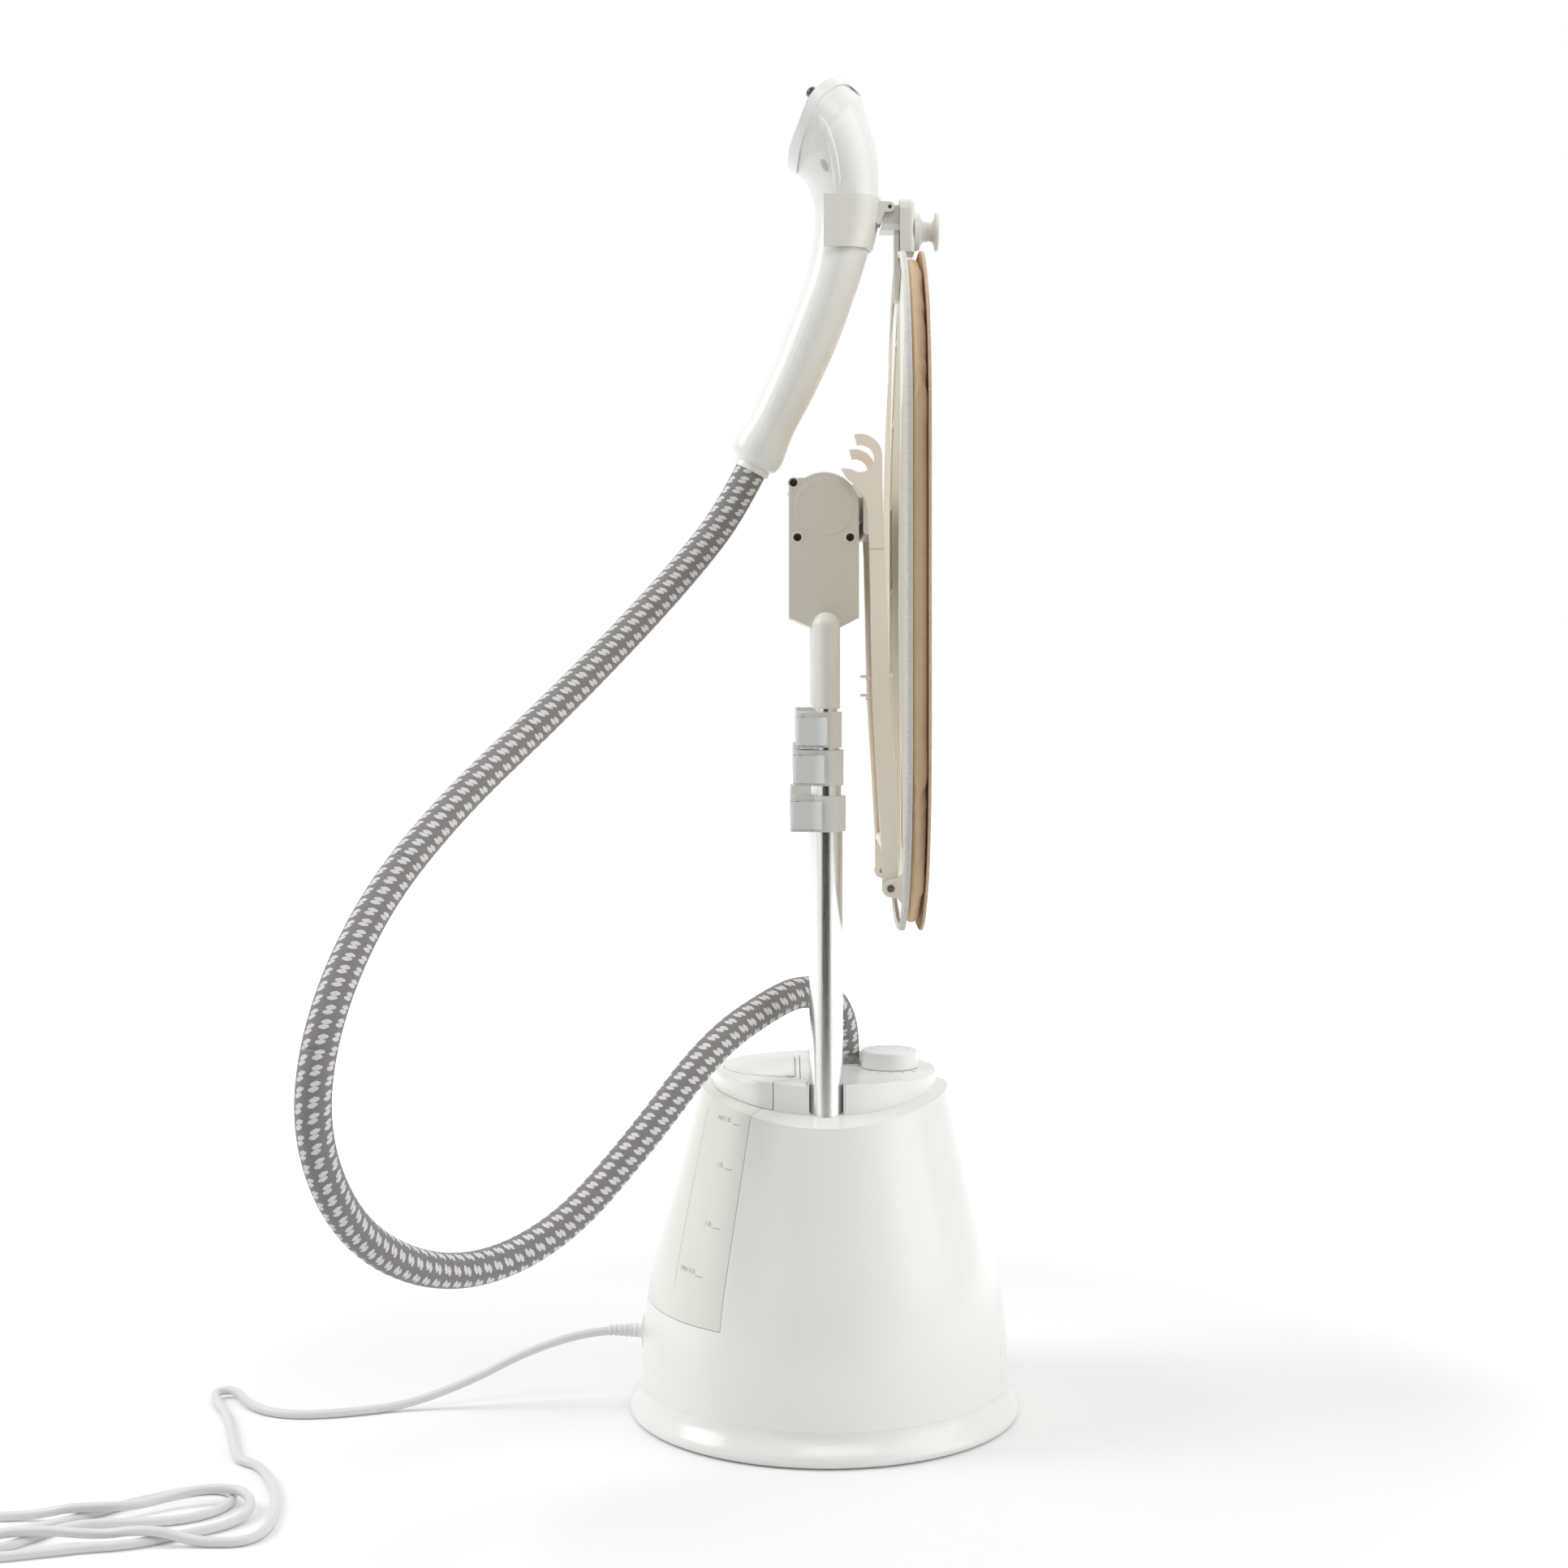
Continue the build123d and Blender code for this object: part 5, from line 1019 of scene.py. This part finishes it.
# %% Head screws and boss rings
bright_rim = moulded_plastic("pale_pp_rim", "#E9E5DD", "#E2DED5", 0.35, 0.5, 0.008)
screw_low, screw_high = (Vector(corner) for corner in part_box("head_screws"))
cover_high = Vector(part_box("head_covers")[1])
screw_radius = 0.0029
screw_spots = ((screw_low.x + screw_radius, screw_high.z - screw_radius),
               (screw_low.x + screw_radius + 0.003, screw_low.z + screw_radius),
               (screw_high.x - screw_radius, screw_low.z + screw_radius))
boss_x, boss_z, boss_radius = -0.0014, 0.6886, 0.0215
for side, word in ((-1, "near"), (1, "far")):
    face_y = side * (cover_high.y - 0.0004)
    trim = [("boss_ring", turned(f"boss_ring_{word}", ring_profile(boss_radius, 0.0005, 0.0003),
                                 (boss_x, face_y, boss_z), (0, side, 0), steps=64), bright_rim)]
    for number, (x, z) in enumerate(screw_spots):
        trim.append(("rim", turned(f"screw_rim_{word}_{number}", ring_profile(0.0036, 0.0006, 0.0004),
                                   (x, face_y, z), (0, side, 0)), bright_rim))
        trim.append(("plug", turned(f"screw_plug_{word}_{number}", cap_profile(0.0031, 0.0004),
                                    (x, face_y, z), (0, side, 0)), None))
    for kind, piece, finish in trim:
        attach(piece, "mast_head")
        dress(finish or pin_steel, piece)
print("head trim", 2 * len(trim))


# %% [markdown]
# ## Seams and slots
# A seam between two mouldings and the slot in a pin show as thin dark lines. A groove would
# need a very fine mesh all round it. A thin bar in a shaded finish, sunk nearly to the
# surface, gives the same line.

# %% Flat bar
def flat_bar(name, size, centre):
    """A small block, its size and centre in metres."""
    bm = bmesh.new()
    bmesh.ops.create_cube(bm, size=1.0)
    bmesh.ops.transform(bm, matrix=Matrix.Translation(centre) @ Matrix.Diagonal((*size, 1)),
                        verts=bm.verts)
    return new_piece(name, bm, smooth=False)


# %% Seams and slots
seam_shade = moulded_plastic("shaded_seam", "#A19C90", "#989387", 0.6, 0.5, 0.01)
seam_x, seam_z = 0.0378, 0.6570
pin_x, pin_z = 0.0477, 0.4058
bar_lift = 0.00005            # a bar's middle is this far outside the surface
for side, word in ((-1, "near"), (1, "far")):
    spot, _ = surface_spot(("arm_bars", "hook_brackets"), (seam_x, side * ray_reach, seam_z),
                           (0, -side, 0))
    seam = flat_bar(f"arm_seam_{word}", (0.0102, 0.0002, 0.0003),
                    (seam_x, spot.y + side * bar_lift, seam_z))
    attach(seam, "arms")
    dress(seam_shade, seam)
    pin_spot, _ = surface_spot(("board_frame", "board_pins"), (pin_x, side * ray_reach, pin_z),
                               (0, -side, 0))
    slot = flat_bar(f"pin_slot_{word}", (0.0034, 0.0002, 0.0006),
                    (pin_x, pin_spot.y + side * bar_lift, pin_z))
    rim = turned(f"pin_rim_{word}", ring_profile(0.0026, 0.0003, 0.00025), pin_spot, (0, side, 0))
    for piece in (slot, rim):
        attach(piece, "board")
        dress(seam_shade, piece)
print("seams and slots 6")

# %% [markdown]
# ## Dial ring and steam strokes
# A thin grey ring runs round the dial's top, and five printed strokes beside the dial grow
# longer with the steam. Ink could be a colour in the deck's material, but a very thin bar
# keeps a sharp edge at any distance and has a finish of its own.

# %% Dial ring and steam strokes
dial_low, dial_high = (Vector(corner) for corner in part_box("dial"))
deck_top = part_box("control_deck")[1][2]
ring_grey = moulded_plastic("grey_dial_ring", "#7A7D7B", "#707371", 0.3, 0.8, 0.004)
dial_x = (dial_low.x + dial_high.x) / 2
dial_ring = turned("dial_ring", ring_profile(0.0158, 0.00055, 0.0003), (dial_x, 0, dial_high.z),
                   (0, 0, 1), steps=64)
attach(dial_ring, "dial")
dress(ring_grey, dial_ring)
ink = moulded_plastic("grey_printing_ink", "#9C9E9C", "#929492", 0.4, 0.6, 0.003, edge=0.0001)
for number in range(5):
    # Five strokes of growing length, from little steam to much, on the near side of the dial.
    turn = radians(-128 + 19 * number)
    reach, length = 0.0262, 0.0012 + 0.0007 * number
    stroke = flat_bar(f"steam_stroke_{number}", (length, 0.0011, 0.00012), (0, 0, 0))
    for vertex in stroke.data.vertices:
        vertex.co = (Matrix.Translation((dial_x, 0, deck_top + 0.00006)) @ Matrix.Rotation(turn, 4, "Z")
                     @ (vertex.co + Vector((reach + length / 2, 0, 0))))
    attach(stroke, "base")
    dress(ink, stroke)
print("dial ring and 5 strokes")

# %% [markdown]
# ## Pole seats
# The deck is moulded round the poles with a thin lip that closes the gap. The lip is half a
# ring with two short straight legs, so it is spun half a turn and its ends are drawn out.

# %% Pole seats
pole_radius, pole_y = 0.0125, 0.070
lip_gap, lip_thick, lip_foot, leg_length = 0.00005, 0.0015, 0.2362, 0.0086
lip_top = deck_top - 0.0003
for side, word in ((-1, "near"), (1, "far")):
    bm = bmesh.new()
    corners = [(pole_radius + lip_gap, lip_foot), (pole_radius + lip_thick, lip_foot),
               (pole_radius + lip_thick, lip_top), (pole_radius + lip_gap, lip_top)]
    section = bm.faces.new([bm.verts.new((x, side * pole_y, z)) for x, z in corners])
    bmesh.ops.spin(bm, geom=[section], cent=(0, side * pole_y, 0), axis=(0, 0, 1), angle=-side * pi,
                   steps=24, use_duplicate=False)
    for face in [face for face in bm.faces if abs(face.normal.y) > 0.99 and len(face.verts) == 4
                 and all(abs(vert.co.y - side * pole_y) < 1e-6 for vert in face.verts)]:
        grown = bmesh.ops.extrude_discrete_faces(bm, faces=[face])["faces"][0]
        bmesh.ops.translate(bm, vec=(0, side * leg_length, 0), verts=grown.verts)
    bmesh.ops.remove_doubles(bm, verts=bm.verts, dist=1e-6)
    bmesh.ops.recalc_face_normals(bm, faces=bm.faces)
    seat = new_piece(f"pole_seat_{word}", bm, smooth=False)
    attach(seat, "base")
    dress(gloss_white, seat)
print("pole seats 2")

# %% [markdown]
# ## Laying marks on the tank
# A mark on a cone could be drawn in place, point by point. It is easier to draw it flat, make
# it a mesh, and send a ray at the tank from outside for each of its points, so that it lies
# down on the cone by itself.

# %% Laying marks
ray_start = 0.4               # metres from the axis, outside the tank


def laid_on(piece, node, place, lift):
    """Moves every point of a flat piece, drawn as (right, up), onto a CAD node's surface.

    place(right, up) gives where a ray starts and which way it goes; lift is the gap left.
    """
    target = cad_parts[node]
    for vertex in piece.data.vertices:
        origin, way = place(vertex.co.x, vertex.co.y)
        hit, spot, _, _ = target.ray_cast(origin, way)
        if hit:
            vertex.co = spot - way * (lift + vertex.co.z)
    return piece


def inward_ray(turn, height):
    """Start and way of a level ray to the base's axis, from this turn (radians) and height."""
    way = Vector((cos(turn), sin(turn), 0))
    return Vector((ray_start * cos(turn), ray_start * sin(turn), height)), -way


def tank_place(angle, height, radius):
    """Rays for a mark centred at this angle (degrees) and height."""
    def place(right, up):
        return inward_ray(radians(angle) + right / radius, height + up)
    return place


# %% Flat marks
def printed_text(name, words, size):
    """A flat word as a mesh, centred."""
    data = bpy.data.curves.new(name, "FONT")
    data.body = words
    data.size = size
    data.align_x = "CENTER"
    data.align_y = "CENTER"
    data.resolution_u = 2
    letters = bpy.data.objects.new(name, data)
    scene.collection.objects.link(letters)
    mesh = bpy.data.meshes.new_from_object(letters)
    bpy.data.objects.remove(letters)
    piece = bpy.data.objects.new(name, mesh)
    scene.collection.objects.link(piece)
    return piece


def printed_bar(name, width, height, parts=8):
    """A flat bar, cut into parts along its length."""
    bm = bmesh.new()
    bmesh.ops.create_grid(bm, x_segments=parts, y_segments=1, size=0.5)
    bmesh.ops.scale(bm, vec=(width, height, 1), verts=bm.verts)
    return new_piece(name, bm, smooth=False)


# %% [markdown]
# ## Level marks
# Levels are pad-printed in grey on the tank's near side: a number of litres and a short dash
# for each. The words are text turned into a mesh, so they need no font where they are used.

# %% Level marks
print_gap = 0.00008            # from the tank to the ink
dash_length, dash_width, word_size, mark_radius = 0.0078, 0.00045, 0.0046, 0.12
marks = []
levels = (("MAX 1.8L", 228.0, 0.2307, 220.2, 0.2333), ("1.5L", 227.9, 0.1991, 223.2, 0.2011),
          ("1.0L", 227.4, 0.1573, 223.0, 0.1593), ("MIN 0.5L", 223.4, 0.1222, 217.3, 0.1245))
for number, (words, dash_angle, dash_z, word_angle, word_z) in enumerate(levels):
    dash = printed_bar(f"level_dash_{number}", dash_length, dash_width)
    marks.append(laid_on(dash, "water_tank", tank_place(dash_angle, dash_z, mark_radius), print_gap))
    word = printed_text(f"level_word_{number}", words, word_size)
    marks.append(laid_on(word, "water_tank", tank_place(word_angle, word_z, mark_radius), print_gap))
for mark in marks:
    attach(mark, "tank")
    dress(ink, mark)
print("marks", len(marks))

# %% [markdown]
# ## The window's border
# On the left the tank's window ends in a fine moulded ridge that leans a little as it goes
# down the cone. The ridge's shade is painted as a narrow grey bar laid on the tank, cut into
# enough parts to follow it.

# %% Window border
# Painted shade: the grey bar stands for the shade along the window's moulded ridge.
window_border_shade = moulded_plastic("painted_window_border_shade", "#C9CCC4", "#BFC3BA", 0.3, 0.8, 0.004)
border_middle, border_length, border_width = 0.1728, 0.130, 0.0006
border_angle, border_lean = 208.35, 46.8      # degrees at its middle, and degrees for each metre up
tank_radius_there = 0.115


def border_place(along, across):
    """Rays for a line drawn lengthwise that leans round the cone."""
    return inward_ray(radians(border_angle - border_lean * along) + across / tank_radius_there,
                      border_middle + along)


border = laid_on(printed_bar("window_border", border_length, border_width, parts=26), "water_tank",
                 border_place, print_gap)
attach(border, "tank")
dress(window_border_shade, border)
print("window border", border_length, "m")

# %% [markdown]
# ## World
# In a white studio the walls are the largest lamp. The world is white to the camera and
# through clear plastic, nine tenths of that in reflections, and half of it as light on dull
# faces, which leaves the lamps room to show the shapes.

# %% World
world = bpy.data.worlds.new("studio")
scene.world = world
world.use_nodes = True
world.node_tree.nodes.clear()
rays = add(world.node_tree, "LightPath").node.outputs
mirrored = add(world.node_tree, "Math", rays["Is Glossy Ray"], 0.8, operation="MULTIPLY")
seen = add(world.node_tree, "Math", rays["Is Camera Ray"], mirrored, operation="MAXIMUM")
seen = add(world.node_tree, "Math", seen, rays["Is Transmission Ray"], operation="MAXIMUM")
strength = add(world.node_tree, "MapRange", seen, 0.0, 1.0, 0.5, 1.0)
glow = add(world.node_tree, "Background", hex_colour("#FFFFFF"), strength)
add(world.node_tree, "OutputWorld", glow)
print("world nodes", len(world.node_tree.nodes))

# %% [markdown]
# ## Floor
# The model stands on white paper that runs out of sight. A real studio curves the paper up to
# hide its edge. Here it glows a little near the object and fully from about a metre away, so
# it becomes one with the white world and still takes a soft shadow.

# %% Floor
half_floor, glow_starts, glow_full, least_glow = 12.0, 0.42, 1.1, 0.08
bm = bmesh.new()
bmesh.ops.create_grid(bm, x_segments=1, y_segments=1, size=half_floor)
paper_floor = new_piece("paper_floor", bm, smooth=False)
paper, tree = new_finish("white_paper")
rays = add(tree, "LightPath").node.outputs
seen = add(tree, "Math", rays["Is Camera Ray"], rays["Is Glossy Ray"], operation="MAXIMUM")
seen = add(tree, "Math", seen, rays["Is Transmission Ray"], operation="MAXIMUM")
away = add(tree, "VectorMath", add(tree, "TexCoord").node.outputs["Object"], operation="LENGTH")
away = away.node.outputs["Value"]
fade = add(tree, "MapRange", away, glow_starts, glow_full, least_glow, 1.0,
           interpolation_type="SMOOTHSTEP")
lift = add(tree, "Math", seen, fade, operation="MULTIPLY")
body = add(tree, "BsdfPrincipled", named={"Base Color": hex_colour("#F2F2F2"), "Roughness": 0.95,
                                          "Specular IOR Level": 0.0,
                                          "Emission Color": hex_colour("#FFFFFF"),
                                          "Emission Strength": lift})
add(tree, "OutputMaterial", body)
dress(paper, paper_floor)
print("floor", 2 * half_floor, "m square")

# %% [markdown]
# ## Lamps
# Large lamps near the object make soft shadows, and small ones hard shadows. Four soft boxes
# light it at a plain level: a strong one on the left, a weaker one on the right, one above
# and one high in front, for the upper parts.

# %% Lamps
def soft_box(name, place, aim, width, height, power):
    """A rectangular lamp that faces a point."""
    lamp = bpy.data.lights.new(name, "AREA")
    lamp.shape = "RECTANGLE"
    lamp.size, lamp.size_y, lamp.energy = width, height, power
    holder = bpy.data.objects.new(name, lamp)
    holder.location = place
    holder.rotation_euler = (Vector(aim) - Vector(place)).to_track_quat("-Z", "Y").to_euler()
    scene.collection.objects.link(holder)
    return holder


low_aim, high_aim = (0, 0, 0.45), (0, 0, 0.95)
soft_box("left_box", (-2.3, -0.2, 2.0), low_aim, 1.3, 1.8, 34)
soft_box("right_box", (2.4, -0.9, 1.4), low_aim, 2.0, 2.2, 27)
soft_box("top_box", (0, 0.6, 2.8), low_aim, 2.2, 1.6, 12)
soft_box("front_box", (0.3, -1.7, 2.5), high_aim, 1.8, 0.8, 12)
print("lamps", sum(lamp.energy for lamp in bpy.data.lights), "W in all")

# %% [markdown]
# ## Dark card
# White plastic and metal in an all-white room lose their shape, because every reflection is
# the same. A dark card behind the camera, out of its sight, gives them something to mirror.
# It runs on along the floor, so that the lower parts mirror it too.

# %% Dark card
card_left, card_right, card_y, card_z = -1.2, 1.0, -2.15, 0.002
card_height, card_reach = 1.3, 1.05
bm = bmesh.new()
foot = [bm.verts.new((x, card_y, card_z)) for x in (card_left, card_right)]
fold = bm.edges.new(foot)
for way in ((0, 0, card_height), (0, card_reach, 0)):
    made = bmesh.ops.extrude_edge_only(bm, edges=[fold])["geom"]
    bmesh.ops.translate(bm, vec=way,
                        verts=[item for item in made if isinstance(item, bmesh.types.BMVert)])
dark_card = new_piece("dark_card", bm, smooth=False)
velvet, tree = new_finish("black_velvet")
add(tree, "OutputMaterial", add(tree, "BsdfDiffuse", hex_colour("#161616")))
dress(velvet, dark_card)
dark_card.visible_camera = False
dark_card.visible_shadow = False
scene.view_settings.view_transform = "Standard"
print("card", card_height, "m high,", card_reach, "m along the floor")
